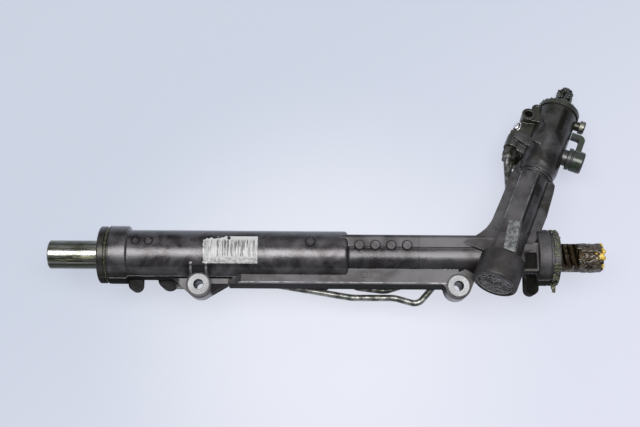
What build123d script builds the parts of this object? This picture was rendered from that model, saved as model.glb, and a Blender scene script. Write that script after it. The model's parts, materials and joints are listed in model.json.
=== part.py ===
from build123d import *
from math import acos, atan, cos, degrees, pi, radians, sin, tan
import os

os.makedirs("parts", exist_ok=True)

# Hydraulic rack and pinion steering gear.
# Frame: the origin is midway between the two mounting bolt holes, on the face that seats on the
# subframe. X runs along the rack, Z along the bolts, Y towards the pinion tower.
# Millimetres and degrees throughout.

# ---- Mounting flange -------------------------------------------------------------------------
MOUNT_SPACING = 273.0       # between the two bolt holes
MOUNT_HOLE_R = 5.25         # clearance for an M10 bolt
EYE_HEIGHT = 36.0           # bolt eye, from its seat to the machined top
EYE_R = 13.4                # casting round the bolt hole
EYE_FACE_R = 11.25          # machined ring under the bolt head
EYE_GROOVE = 0.9            # width and depth of the groove round that ring
FLANGE_BOTTOM = 5.0         # underside of the flange's walls
FLANGE_TOP = 34.0
FLANGE_EDGE_Y = 2.2         # straight lower edge of the flange
FLANGE_BACK_Y = 17.6        # where its flat top ends against the rack tube
LEFT_SHELF_TOP = 27.0       # lower ground round the left bolt eye
FLANGE_DRAFT = 2.5          # how far its front wall leans out towards the bottom
FLANGE_ROUND = 1.2
FLANGE_RAMP = 14.0          # slope from the shelf up to the flange's top
FLANGE_EYE_REACH = 15.0     # length of flange drawn out beside the right bolt eye
FLANGE_EYE_FILLET = 7.0
FLANGE_WALL = 4.0
FLANGE_SKIN = 5.0
FLANGE_RIB_PITCH = 34.0
FLANGE_LEFT_X = -166.0
SHELF_END_X = -106.0
FLANGE_RIGHT_X = 152.0
EYE_RIB_THICKNESS = 3.2
EYE_RIB_TOP = 43.5

# ---- Rack axis and rack bar ------------------------------------------------------------------
RACK_Y = 33.2
RACK_Z = 19.0
BAR_R = 15.2
BAR_LENGTH = 589.0
BAR_OFFSET = -3.5           # middle of the bar from mid travel, as it stands at rest
TRAVEL = 64.0               # each way from mid travel
BAR_THREAD_R = 7.25         # M16 x 1.5 for the inner tie rod
BAR_THREAD_DEPTH = 25.0
BAR_CHAMFER = 1.2

# ---- Housing tubes ---------------------------------------------------------------------------
HOUSING_LENGTH = 486.0
CYLINDER_BORE_R = 21.3
CYLINDER_WALL = 5.5
CYLINDER_END_X = 20.3       # right end of the thick cylinder tube
CHAMBER_LEFT_X = -190.0
CHAMBER_RIGHT_X = 8.0
BAR_CLEARANCE = 1.5         # rack bar to its bore
RACK_TUBE_WALL = 4.0
RECESS_R = 24.5             # recess in each collar for the tie rod's ball housing
RECESS_LEFT_DEPTH = 15.0
RECESS_RIGHT_DEPTH = 16.0
COLLAR_WALL = 6.5
LEFT_COLLAR_LENGTH = 31.0
RIGHT_COLLAR_LENGTH = 23.0
BOOT_GROOVE_DEPTH = 2.2
BOOT_GROOVE_WIDTH = 3.0
BOOT_GROOVE_INSET = 7.0     # from the collar's end to the groove
LOCATING_GROOVE_INSET = 11.2        # second, narrow groove in the left collar
LOCATING_GROOVE_WIDTH = 1.2
LOCATING_GROOVE_DEPTH = 0.9
RIGHT_COLLAR_STEP = 0.9     # how much smaller in radius the right collar is
LIP_STEP = 0.5              # how much smaller each boot lip is than its collar
RUN = 0.05                  # radial clearance of a part that slides or turns in its seat
SEAT = 0.02                 # radial clearance of a part that is pressed or screwed home
CLEAR = 0.3                 # gap between moving parts that don't bear on each other

# ---- Rail above the rack tube ----------------------------------------------------------------
RAIL_LOW_Y = 39.6
RAIL_HIGH_Y = 53.9
RAIL_TOP = 41.0
RAIL_RIGHT_X = 178.0
MARK_R = 4.75               # slotted ejector marks
MARK_XS = (32.2, 48.9, 65.6, 82.3)
MARK_Y = 42.0
MARK_HEIGHT = 1.3
MARK_SLOT = 1.3

# ---- Pinion, tower and valve -----------------------------------------------------------------
PINION_X = 188.4            # where the pinion crosses the rack, from the flange's middle
TOWER_SKEW = 22.5           # tower off square to the rack, seen along the bolts
TOWER_DIP = 18.0            # tower's lean down towards the subframe
NORMAL_MODULE = 2.1
TEETH = 7
PRESSURE_ANGLE = 20.0
PROFILE_SHIFT = 0.5
HELIX_ANGLE = 28.0
RACK_TIP = 10.0             # rack tooth tips above the bar's axis
BACKLASH = 0.14             # per flank, in the normal plane
PINION_TIP_R = 11.1
GEAR_FACE = 31.0
GEAR_GAP = 5.7              # from the gear to the bearing below it
PINION_BORE_R = 12.5
PINION_WALL = 4.5
NECK_R = 9.0
LOWER_BEARING_BORE_R = 7.5
LOWER_BEARING_R = 17.5
LOWER_BEARING_WIDTH = 10.5
LOWER_BALL_R = 2.8
LOWER_BALLS = 9
BULGE_WALL = 6.3
BULGE_TOP_S = -12.0           # top of the wide lower part of the tower
LOCK_NUT_HEIGHT = 4.0
LOCK_NUT_AF = 20.0
CAP_THICKNESS = 4.0
CAP_INSET = 3.0
CAP_RIM = 0.5               # cap thread's radius over the bearing's
SPINE_LIFT = 18.3           # flat spine on the neck's front
SPINE_LEFT_W = -15.0
SPINE_RIGHT_W = 3.2
PLATE_S = 8.2               # seat of the stuck-on plate
PLATE_W = -0.5
PLATE_LENGTH = 37.0
PLATE_WIDTH = 12.6
PLATE_TURN = 8.0
LIP_S = 94.5                # double lip where the neck widens to the valve barrel
VALVE_SEAT_S = 119.0        # shoulder of the valve bore, along the tower from the rack crossing
VALVE_BORE_R = 16.0
VALVE_WALL = 6.0
MID_BEARING_BORE_R = 8.0
MID_BEARING_WIDTH = 8.0
MID_BALL_R = 2.2
MID_BALLS = 11
VALVE_SEAL_WIDTH = 4.0
SLEEVE_GAP = 0.6
SLEEVE_LENGTH = 40.0
SLEEVE_R = 15.6
SLEEVE_SKIRT_DEPTH = 5.0
SLEEVE_SKIRT_R = 12.6
ROTOR_R = 9.5
RING_WIDTH = 2.2
RING_R_IN = 14.0
RING_PITCH = 9.0
RING_COUNT = 4
RING_FIRST = 8.0
TOP_BEARING_BORE_R = 10.0
TOP_BEARING_WIDTH = 7.0
TOP_BALL_R = 1.8
TOP_BALLS = 12
SHAFT_R = 9.0
SHAFT_SEAL_WIDTH = 5.0
CIRCLIP_THICKNESS = 1.4
CIRCLIP_DEPTH = 1.0
TOWER_TOP_S = 191.5
CAP_SKIRT = 3.4
DUST_CAP_WALL = 1.5
DUST_CAP_TOP = 3.5
SHAFT_END_S = 222.0
SPLINE_R = 8.6
SPLINE_LENGTH = 24.0
SPLINE_TEETH = 36
SPLINE_DEPTH = 0.7
CLAMP_GROOVE_R = 7.2
CLAMP_GROOVE_WIDTH = 7.0
TORSION_HEAD_R = 4.5
TORSION_BAR_R = 2.75
TORSION_FOOT_S = 92.0
TORSION_HEAD_LENGTH = 12.0
TORSION_PIN_R = 1.5
FEED_PORT_S = 136.0
FEED_PORT_R = 6.4           # M14 x 1.5
FEED_NECK_R = 9.0
FEED_NECK_W = 26.0
SIDE_PLUG_S = 182.5
SIDE_PLUG_W = 27.0
SIDE_PLUG_R = 7.5
SIDE_BOSS_R = 5.4
SIDE_STEM_R = 3.5
SIDE_STEM_LENGTH = 5.0
SIDE_PLUG_HEAD = 6.5

# ---- Yoke ------------------------------------------------------------------------------------
YOKE_BORE_R = 16.2
YOKE_WALL = 6.0
YOKE_START = 6.0            # yoke's open face, from the rack's axis
YOKE_BACK = 30.0
YOKE_LINER = 0.8
YOKE_POCKET_R = 9.5
YOKE_POCKET_DEPTH = 8.0
YOKE_FLOAT = 0.1
YOKE_PLUG_R = 17.5
YOKE_PLUG_LENGTH = 13.0
YOKE_BOSS_END = 38.0
YOKE_NUT_AF = 41.0
YOKE_NUT_HEIGHT = 5.0
SPRING_R = 6.5
SPRING_WIRE_R = 1.3
SPRING_TURNS = 3.5

# ---- Piston and glands -----------------------------------------------------------------------
PISTON_X = -86.0            # at mid travel
PISTON_WIDTH = 12.0
PISTON_R = 20.8
PISTON_RING_WIDTH = 5.0
PISTON_RING_DEPTH = 2.6
GLAND_R = 23.0
GLAND_LENGTH = 34.0
GLAND_RING_THICKNESS = 2.0
BUSH_WALL = 2.2
BUSH_LENGTH = 16.0
ROD_SEAL_WIDTH = 7.0
ROD_SEAL_WALL = 4.2
O_RING_R = 1.3
INNER_SEAL_R = 18.8
INNER_SEAL_WIDTH = 6.0
BACKUP_RING_WIDTH = 3.5

# ---- Pipes -----------------------------------------------------------------------------------
PIPE_R = 3.5
PIPE_WALL = 0.7
PIPE_NUT_AF = 14.0
PIPE_NUT_LENGTH = 14.0
PIPE_NUT_GRIP = 5.0         # how far a nut is screwed into its port
PIPE_SOCKET = 9.0           # how far the pipe's end stands inside the port's face
PORT_R = 6.0                # M12 ports of the cylinder pipes

# ==== Frames worked out from these ============================================================
skew = radians(TOWER_SKEW)
dip = radians(TOWER_DIP)
helix = radians(HELIX_ANGLE)
X_DIR = Vector(1, 0, 0)
TOWER_DIR = Vector(sin(skew), cos(skew) * cos(dip), -cos(skew) * sin(dip))
LIFT_DIR = Vector(0, sin(dip), cos(dip))     # from the rack to the pinion, square to both
SIDE_DIR = TOWER_DIR.cross(LIFT_DIR)         # square to the tower, towards the rack's right end
rack_origin = Vector(0, RACK_Y, RACK_Z)

reference_r = TEETH * NORMAL_MODULE / (2 * cos(helix))
root_r = reference_r - (1.25 - PROFILE_SHIFT) * NORMAL_MODULE
rack_reference = RACK_TIP - NORMAL_MODULE
rack_root = rack_reference - 1.25 * NORMAL_MODULE
gear_centre = rack_reference + reference_r + PROFILE_SHIFT * NORMAL_MODULE
yoke_origin = rack_origin + X_DIR * PINION_X
tower_origin = yoke_origin + LIFT_DIR * gear_centre

# Turning frames: x along the axis, y a radius. Station frames: z along the axis.
RACK_TURN = Plane(origin=rack_origin, x_dir=X_DIR, z_dir=(0, 0, 1))
TOWER_TURN = Plane(origin=tower_origin, x_dir=TOWER_DIR, z_dir=-LIFT_DIR)
YOKE_TURN = Plane(origin=yoke_origin, x_dir=-LIFT_DIR, z_dir=(-LIFT_DIR).cross(X_DIR))


def rack_station(x):
    """Plane square to the rack at x, its own x along Y and its own y along Z."""
    return Plane(origin=rack_origin + X_DIR * x, x_dir=(0, 1, 0), z_dir=X_DIR)


def tower_point(s, w=0.0, lift=0.0):
    """Point s along the tower, w to its side and lifted from its axis."""
    return tower_origin + TOWER_DIR * s + SIDE_DIR * w + LIFT_DIR * lift


def tower_station(s):
    """Plane square to the tower at s, its own x along the lift and its own y to the side."""
    return Plane(origin=tower_point(s), x_dir=LIFT_DIR, z_dir=TOWER_DIR)


def tower_side(w, lift=0.0):
    """Plane facing out of the tower's side at w, its own x along the tower."""
    return Plane(origin=tower_point(0, w, lift), x_dir=TOWER_DIR, z_dir=SIDE_DIR)


def tower_face(lift):
    """Plane over the tower at this lift, its own x along the tower and its own y to the side."""
    return TOWER_TURN.offset(-lift)


def yoke_station(k):
    """Plane square to the yoke's axis, k from the rack's axis on the side away from the pinion."""
    return Plane(origin=yoke_origin - LIFT_DIR * k, x_dir=X_DIR, z_dir=-LIFT_DIR)


def turn(frame, rings, mode=Mode.ADD):
    """Turn rings, each (start, end, inner radius, outer radius), about the frame's x axis."""
    with BuildSketch(frame) as section:
        for start, end, inner, outer in rings:
            with Locations(((start + end) / 2, (inner + outer) / 2)):
                Rectangle(end - start, outer - inner)
    revolve(section.sketch, axis=Axis(frame.origin, frame.x_dir), mode=mode)


def finish(node, label):
    """Label one finished sub-part and write it."""
    node.part.label = label
    export_step(node.part, f"parts/{label}.step")


# ==== Stations along the rack =================================================================
half_housing = HOUSING_LENGTH / 2
tube_r = CYLINDER_BORE_R + CYLINDER_WALL
rack_bore_r = BAR_R + BAR_CLEARANCE
rack_tube_r = rack_bore_r + RACK_TUBE_WALL
left_collar_r = RECESS_R + COLLAR_WALL
right_collar_r = left_collar_r - RIGHT_COLLAR_STEP
left_lip_r = left_collar_r - LIP_STEP
right_lip_r = right_collar_r - LIP_STEP
left_collar_x = -half_housing + LEFT_COLLAR_LENGTH
right_collar_x = half_housing - RIGHT_COLLAR_LENGTH
left_groove_r = left_collar_r - BOOT_GROOVE_DEPTH
right_groove_r = right_collar_r - BOOT_GROOVE_DEPTH
locating_r = left_collar_r - LOCATING_GROOVE_DEPTH
locating_near = half_housing - LOCATING_GROOVE_INSET
locating_far = locating_near - LOCATING_GROOVE_WIDTH
groove_near = half_housing - BOOT_GROOVE_INSET
groove_far = groove_near - BOOT_GROOVE_WIDTH
piston_x = PISTON_X + BAR_OFFSET
bar_left = BAR_OFFSET - BAR_LENGTH / 2
bar_right = BAR_OFFSET + BAR_LENGTH / 2
gland_left = CHAMBER_LEFT_X - GLAND_LENGTH
gland_ring_r = GLAND_R + 0.9
inner_seal_end = CHAMBER_RIGHT_X + INNER_SEAL_WIDTH
backup_end = inner_seal_end + BACKUP_RING_WIDTH
left_eye = (-MOUNT_SPACING / 2, 0)
right_eye = (MOUNT_SPACING / 2, 0)

# ==== Stations along the tower ================================================================
gear_low = -GEAR_FACE / 2
gear_high = GEAR_FACE / 2
bearing_top = gear_low - GEAR_GAP
bearing_bottom = bearing_top - LOWER_BEARING_WIDTH
nut_bottom = bearing_bottom - LOCK_NUT_HEIGHT
cap_top = nut_bottom - 1.0
cap_bottom = cap_top - CAP_THICKNESS
tower_bottom = cap_bottom - CAP_INSET
bulge_r = LOWER_BEARING_R + BULGE_WALL
neck_tube_r = PINION_BORE_R + PINION_WALL
barrel_r = VALVE_BORE_R + VALVE_WALL
mid_bearing_end = VALVE_SEAT_S + MID_BEARING_WIDTH
valve_seal_end = mid_bearing_end + VALVE_SEAL_WIDTH
sleeve_start = valve_seal_end + SLEEVE_GAP
sleeve_end = sleeve_start + SLEEVE_LENGTH
rotor_start = sleeve_start + SLEEVE_SKIRT_DEPTH + 1.0
top_bearing_start = sleeve_end + 1.2
top_bearing_end = top_bearing_start + TOP_BEARING_WIDTH
shaft_seal_end = top_bearing_end + SHAFT_SEAL_WIDTH
circlip_start = shaft_seal_end + 0.3
circlip_end = circlip_start + CIRCLIP_THICKNESS

# ==== Housing =================================================================================
LEFT_PORT = (-172.8, 8.0)    # centre of the left cylinder port's boss
RIGHT_PORT = (-5.0, 10.0)
PORT_BOSS_R = 9.6
PORT_BOSS_LOW = -13.0
PORT_BOSS_HIGH = 12.0
PORT_Z = -5.0                # both cylinder ports face +X at this height
BLOCK_LOW_S = 121.0          # port block on the valve barrel's left side
BLOCK_HIGH_S = 169.0
BLOCK_OUT_W = 36.0
BLOCK_LIFT_LOW = -24.0
BLOCK_LIFT_HIGH = 9.0
VALVE_PORTS = ((-35.0, 2.5), (-30.0, -14.5))     # side and lift of the two pipe ports
TOP_BOSS_R = 6.2
TOP_BOSS_LIFT = 9.0
BLOCK_ARM_LIFT = 15.0
BLOCK_ROOT_LIFT = 21.4
GALLERY_S = 151.0            # plugged gallery on the block's outer face, turned up towards the lift
GALLERY_LIFT = 4.0
GALLERY_W = -37.5
GALLERY_TILT = 45.0
GALLERY_BOSS_R = 8.0
GALLERY_R = 5.8
GALLERY_SHANK = 8.0
GALLERY_DOME = 5.2
RETURN_PORT_S = 165.0        # open return port, facing the lift direction
RETURN_PORT_W = -30.0
RETURN_PORT_LIFT = 17.0
RETURN_PORT_R = 4.5
RETURN_PORT_DEPTH = 12.0
POCKET_X = 211.8             # square pocket in a pad between the tower and the right collar
POCKET_Y = 26.5
POCKET_LENGTH = 11.0
POCKET_WIDTH = 16.0
POCKET_PAD_TOP = 40.6
POCKET_DEPTH = 2.4
LUG_R = 7.0
LUG_TOP = 20.0
GALLERY_PLANE = Plane(
    origin=tower_point(GALLERY_S, GALLERY_W, GALLERY_LIFT), x_dir=TOWER_DIR,
    z_dir=LIFT_DIR * sin(radians(GALLERY_TILT)) - SIDE_DIR * cos(radians(GALLERY_TILT)))
valve_port_s = BLOCK_LOW_S + 1.0


def cylinder_port(centre):
    """Plane on the face of a cylinder port, looking out of it along the rack."""
    face = (centre[0] + PORT_BOSS_R - 1.2, centre[1], PORT_Z)
    return Plane(origin=face, x_dir=(0, 1, 0), z_dir=(1, 0, 0))


def valve_port(side, lift):
    """Plane on the face of a valve port, looking out of it down the tower."""
    return Plane(origin=tower_point(valve_port_s, side, lift), x_dir=LIFT_DIR, z_dir=-TOWER_DIR)


def flange_eye(centre, shoulders, top):
    """Bolt eye of the flange, drawn round its hole and drawn out to two shoulders."""
    with BuildSketch(Plane.XY.offset(FLANGE_BOTTOM)) as eye:
        with Locations(centre):
            Circle(EYE_R)
        with Locations(*shoulders):
            Circle(3.0)
        make_hull()
    extrude(eye.sketch, amount=top - FLANGE_BOTTOM)


with BuildPart() as housing:
    # Lower flange: a drafted bar between the two bolt eyes, ramped down to the left one's shelf
    with BuildSketch(Plane(origin=(SHELF_END_X, 0, 0), x_dir=(0, 1, 0), z_dir=(1, 0, 0))):
        with BuildLine():
            FilletPolyline(
                (FLANGE_EDGE_Y - FLANGE_DRAFT, FLANGE_BOTTOM), (FLANGE_EDGE_Y, FLANGE_TOP),
                (FLANGE_BACK_Y, FLANGE_TOP), (FLANGE_BACK_Y, FLANGE_BOTTOM),
                radius=(0.8, FLANGE_ROUND, 0, 0), close=True)
        make_face()
    extrude(amount=FLANGE_RIGHT_X - FLANGE_EYE_REACH - SHELF_END_X)
    with BuildSketch(Plane.XZ):
        with BuildLine():
            Polyline((SHELF_END_X - 1, LEFT_SHELF_TOP), (SHELF_END_X - 1, FLANGE_TOP + 1),
                     (SHELF_END_X + FLANGE_RAMP, FLANGE_TOP + 1), (SHELF_END_X + FLANGE_RAMP, FLANGE_TOP),
                     close=True)
        make_face()
    extrude(amount=2 * FLANGE_BACK_Y, both=True, mode=Mode.SUBTRACT)
    flange_eye(left_eye, ((FLANGE_LEFT_X, 12), (SHELF_END_X, 6), (-150, 18)), LEFT_SHELF_TOP)
    flange_eye(right_eye, ((FLANGE_RIGHT_X, 10), (FLANGE_RIGHT_X - 8, FLANGE_BACK_Y - 3)), FLANGE_TOP)
    with BuildSketch(Plane.XY.offset(FLANGE_BOTTOM)) as eye_root:
        with Locations(right_eye):
            Circle(EYE_R)
        with Locations((right_eye[0] - FLANGE_EYE_REACH, (FLANGE_EDGE_Y + FLANGE_BACK_Y) / 2)):
            Rectangle(2 * FLANGE_EYE_REACH, FLANGE_BACK_Y - FLANGE_EDGE_Y)
        fillet(eye_root.vertices().sort_by_distance((right_eye[0] - EYE_R, FLANGE_EDGE_Y, FLANGE_BOTTOM))[0],
               FLANGE_EYE_FILLET)
    extrude(amount=FLANGE_TOP - FLANGE_BOTTOM)
    # Cored out from below, with cross ribs left standing
    with BuildSketch(Plane.XY.offset(FLANGE_BOTTOM)):
        with Locations((0, (FLANGE_EDGE_Y + FLANGE_BACK_Y) / 2)):
            Rectangle(2 * 105.0, FLANGE_BACK_Y - FLANGE_EDGE_Y - 2 * FLANGE_WALL)
        with GridLocations(FLANGE_RIB_PITCH, 1, 6, 1):
            Rectangle(FLANGE_WALL, FLANGE_BACK_Y, mode=Mode.SUBTRACT)
    extrude(amount=FLANGE_TOP - FLANGE_BOTTOM - FLANGE_SKIN, mode=Mode.SUBTRACT)
    # Bolt eyes down to their seats, and the two ribs from the left one up to the tube
    with BuildSketch(Plane.XY):
        with Locations(left_eye, right_eye):
            Circle(EYE_R - 0.6)
    extrude(amount=EYE_HEIGHT)
    for side in (-1, 1):
        rib_x = left_eye[0] + side * (EYE_FACE_R - EYE_RIB_THICKNESS)
        with BuildSketch(Plane(origin=(rib_x, 0, 0), x_dir=(0, 1, 0), z_dir=(1, 0, 0))):
            with BuildLine():
                Polyline((9, 6), (9, EYE_HEIGHT - 1.5), (15, EYE_RIB_TOP - 2.5), (20.5, EYE_RIB_TOP),
                         (27, EYE_RIB_TOP), (27, 6), close=True)
            make_face()
        extrude(amount=EYE_RIB_THICKNESS / 2, both=True)
    # Lugs and the two cylinder port bosses, upright beside the tubes
    with BuildSketch(Plane.XY.offset(3)):
        with Locations((-205.5, 1.6), (216.5, 0.2)):
            Circle(LUG_R)
        with Locations((-205.5, 10), (216.5, 10)):
            Rectangle(2 * LUG_R, 17)
    extrude(amount=LUG_TOP - 3)
    with BuildSketch(Plane.XY.offset(LUG_TOP)):
        with Locations((-205.5, 1.6), (216.5, 0.2)):
            Circle(LUG_R - 2)
            Circle(LUG_R - 3.2, mode=Mode.SUBTRACT)
    extrude(amount=0.7)
    with BuildSketch(Plane.XY.offset(PORT_BOSS_LOW)):
        with Locations(LEFT_PORT, RIGHT_PORT):
            Circle(PORT_BOSS_R)
            with Locations((0, 6)):
                Rectangle(2 * PORT_BOSS_R, 12)
    extrude(amount=PORT_BOSS_HIGH - PORT_BOSS_LOW)
    # Cylinder tube, rack tube and the two boot collars, turned in one profile
    with BuildSketch(RACK_TURN):
        with BuildLine():
            FilletPolyline(
                (-half_housing, 0), (-half_housing, left_lip_r),
                (-groove_near, left_lip_r), (-groove_near, left_groove_r),
                (-groove_far, left_groove_r), (-groove_far, left_collar_r),
                (-locating_near, left_collar_r), (-locating_near, locating_r),
                (-locating_far, locating_r), (-locating_far, left_collar_r),
                (left_collar_x, left_collar_r), (left_collar_x, tube_r),
                (CYLINDER_END_X, tube_r), (CYLINDER_END_X, rack_tube_r),
                (right_collar_x, rack_tube_r), (right_collar_x, right_collar_r),
                (groove_far, right_collar_r), (groove_far, right_groove_r),
                (groove_near, right_groove_r), (groove_near, right_lip_r),
                (half_housing, right_lip_r), (half_housing, 0),
                radius=(0, 1.6, 0.5, 0.5, 0.5, 0.8, 0.3, 0, 0, 0.3, 2.4, 0.5, 4, 2, 2, 1.2, 1, 0.6, 0.6, 0.5, 1.4, 0),
                close=True)
        make_face()
    revolve(axis=Axis(rack_origin, X_DIR))
    # Rail above the rack tube, its far edge rounded
    with BuildSketch(rack_station(CYLINDER_END_X - 8)):
        with BuildLine():
            FilletPolyline(
                (RAIL_LOW_Y - RACK_Y, 2), (RAIL_LOW_Y - RACK_Y, RAIL_TOP - RACK_Z),
                (RAIL_HIGH_Y - RACK_Y, RAIL_TOP - RACK_Z - 1), (RAIL_HIGH_Y - RACK_Y, 2),
                radius=(0, 1.2, 4.5, 0), close=True)
        make_face()
    extrude(amount=RAIL_RIGHT_X - CYLINDER_END_X + 8)
    # Slotted ejector marks that overhang the rail's near edge
    with BuildSketch(Plane.XY.offset(RACK_Z + 10)):
        with Locations(*[(x, MARK_Y) for x in MARK_XS]):
            Circle(MARK_R)
    extrude(amount=RAIL_TOP + MARK_HEIGHT - RACK_Z - 10)
    with BuildSketch(Plane.XY.offset(RAIL_TOP + MARK_HEIGHT)):
        with Locations(*[(x, MARK_Y) for x in MARK_XS]):
            Rectangle(2 * MARK_R, MARK_SLOT, rotation=-42)
    extrude(amount=-0.6, mode=Mode.SUBTRACT)
    # Small raised square on the flange
    with BuildSketch(Plane.XY.offset(FLANGE_TOP)):
        with Locations((37.2, 11.6)):
            Rectangle(6.4, 6.4)
            Rectangle(4.6, 4.6, mode=Mode.SUBTRACT)
    extrude(amount=0.5)
    # Right of the tower: short rib with a round end
    with BuildSketch(Plane.XY.offset(RACK_Z + 8)):
        with BuildLine():
            Polyline((196, 38), (196, 44), (217.5, 44), (217.5, 38), close=True)
        make_face()
        with Locations((217.5, 41)):
            Circle(4.6)
    extrude(amount=RAIL_TOP - RACK_Z - 8)
    with BuildSketch(Plane.XY.offset(POCKET_PAD_TOP)):
        with Locations((POCKET_X, POCKET_Y)):
            RectangleRounded(POCKET_LENGTH + 6, POCKET_WIDTH + 6, 1.5)
    extrude(amount=-12)
    with BuildSketch(Plane.XY.offset(POCKET_PAD_TOP)):
        with Locations((POCKET_X, POCKET_Y)):
            RectangleRounded(POCKET_LENGTH, POCKET_WIDTH, 1.5)
    extrude(amount=-POCKET_DEPTH, mode=Mode.SUBTRACT)
    # Yoke barrel on the far side of the rack
    with BuildSketch(yoke_station(0)):
        Circle(YOKE_BORE_R + YOKE_WALL)
    extrude(amount=YOKE_BOSS_END)
    # Pinion tower: bulge round the gear, neck, and the valve barrel with its double lip
    with BuildSketch(TOWER_TURN):
        with BuildLine():
            FilletPolyline(
                (tower_bottom, 0), (tower_bottom, bulge_r), (BULGE_TOP_S, bulge_r),
                (BULGE_TOP_S + 2, neck_tube_r), (LIP_S, neck_tube_r), (LIP_S + 0.6, neck_tube_r + 2.2),
                (LIP_S + 2.6, neck_tube_r + 2.2), (LIP_S + 3.2, neck_tube_r + 1.4),
                (LIP_S + 4, barrel_r - 1.8), (LIP_S + 9, barrel_r - 1.2), (LIP_S + 14, barrel_r),
                (TOWER_TOP_S, barrel_r), (TOWER_TOP_S, 0),
                radius=(0, 2, 4, 2, 0, 0.5, 0.5, 0, 0.5, 3, 3, 1, 0), close=True)
        make_face()
    revolve(axis=Axis(tower_origin, TOWER_DIR))
    # Flat spine on the neck's front, and the seat of the plate across it
    with BuildSketch(tower_station(BULGE_TOP_S - 4)):
        with BuildLine():
            FilletPolyline((0, SPINE_LEFT_W), (SPINE_LIFT, SPINE_LEFT_W), (SPINE_LIFT, SPINE_RIGHT_W),
                           (0, SPINE_RIGHT_W), radius=(0, 2.5, 0.6, 0), close=True)
        make_face()
    extrude(amount=LIP_S + 2 - BULGE_TOP_S)
    with BuildSketch(tower_face(SPINE_LIFT)):
        with Locations((PLATE_S, PLATE_W)):
            RectangleRounded(PLATE_LENGTH + 3, PLATE_WIDTH + 3, 1.5, rotation=-PLATE_TURN)
    extrude(amount=SPINE_LIFT - 4)
    # Webs on the neck's two sides
    with BuildSketch(tower_face(8)):
        with BuildLine():
            FilletPolyline(
                (LIP_S + 16, -8), (LIP_S + 16, -20), (LIP_S + 3, -23.5), (88, -24.6), (55, -25), (22, -26),
                (12, -28.5), (5, -32), (-4, -38), (-14, -46), (-14, -8),
                radius=(0, 2, 3, 5, 20, 15, 10, 10, 6, 0, 0), close=True)
        make_face()
    extrude(amount=16)
    with BuildSketch(tower_face(5)):
        with BuildLine():
            FilletPolyline(
                (LIP_S + 6, 8), (LIP_S + 4, 18.5), (93, 24), (83, 25.2), (53, 27), (27, 26.3), (10, 22),
                (-14, 21.5), (-14, 8), radius=(0, 2, 3, 5, 20, 10, 10, 0, 0), close=True)
        make_face()
    extrude(amount=12)
    # Port block on the barrel's left side, with its bosses
    with BuildSketch(tower_face(BLOCK_LIFT_HIGH)):
        with BuildLine():
            FilletPolyline(
                (BLOCK_LOW_S + 6, 0), (BLOCK_LOW_S - 3, -20), (BLOCK_LOW_S, -BLOCK_OUT_W - 6),
                (BLOCK_LOW_S + 22, -BLOCK_OUT_W - 6), (BLOCK_LOW_S + 27, -BLOCK_OUT_W),
                (BLOCK_HIGH_S - 9, -BLOCK_OUT_W), (BLOCK_HIGH_S, -20), (BLOCK_HIGH_S, 0),
                radius=(0, 1, 3, 4, 1.5, 5, 2, 0), close=True)
        make_face()
    extrude(amount=BLOCK_LIFT_HIGH - BLOCK_LIFT_LOW)
    # Two arms from the block up on to the barrel, with a hollow between them
    with BuildSketch(tower_face(BLOCK_ARM_LIFT)):
        with BuildLine():
            FilletPolyline((124, 0), (126, -20), (131, -36), (140, -36), (138.5, -28), (136.5, -14), (149.5, -4),
                           (161.5, -13), (158, -31), (160, -36), (170, -36), (172, -26), (174, 0),
                           radius=(0, 3, 2, 2, 3, 2, 1, 2, 3, 2, 3, 3, 0), close=True)
        make_face()
    extrude(amount=BLOCK_ARM_LIFT)
    with BuildSketch(tower_face(BLOCK_ROOT_LIFT)):
        with BuildLine():
            FilletPolyline((127, 0), (129, -15), (136.5, -14), (149.5, -4), (161.5, -13), (170, -15), (173, 0),
                           radius=(0, 3, 2, 1, 2, 3, 0), close=True)
        make_face()
    extrude(amount=BLOCK_ROOT_LIFT)
    with BuildSketch(tower_face(RETURN_PORT_LIFT)):
        with Locations((RETURN_PORT_S, RETURN_PORT_W)):
            Circle(RETURN_PORT_R + 3)
    extrude(amount=20)
    with BuildSketch(tower_face(TOP_BOSS_LIFT)):
        with Locations((181.5, -23.5)):
            Circle(TOP_BOSS_R)
    extrude(amount=16)
    with BuildSketch(tower_face(TOP_BOSS_LIFT)):
        with Locations((181.5, -23.5)):
            Circle(TOP_BOSS_R - 2)
    extrude(amount=1.2, mode=Mode.SUBTRACT)
    # Round bosses of the two pipe ports
    for side, lift in VALVE_PORTS:
        with BuildSketch(valve_port(side, lift)):
            Circle(PORT_R + 2.6)
        extrude(amount=-16)
    with BuildSketch(GALLERY_PLANE):
        Circle(GALLERY_BOSS_R)
    extrude(amount=-20)
    # Feed port neck and the side plug's boss on the right side
    with BuildSketch(tower_side(8)):
        with Locations((FEED_PORT_S, 0)):
            Circle(FEED_NECK_R)
    extrude(amount=FEED_NECK_W - 8)
    with BuildSketch(tower_side(8)):
        with Locations((SIDE_PLUG_S, 0)):
            Circle(SIDE_BOSS_R)
    extrude(amount=SIDE_PLUG_W - 8)

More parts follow.
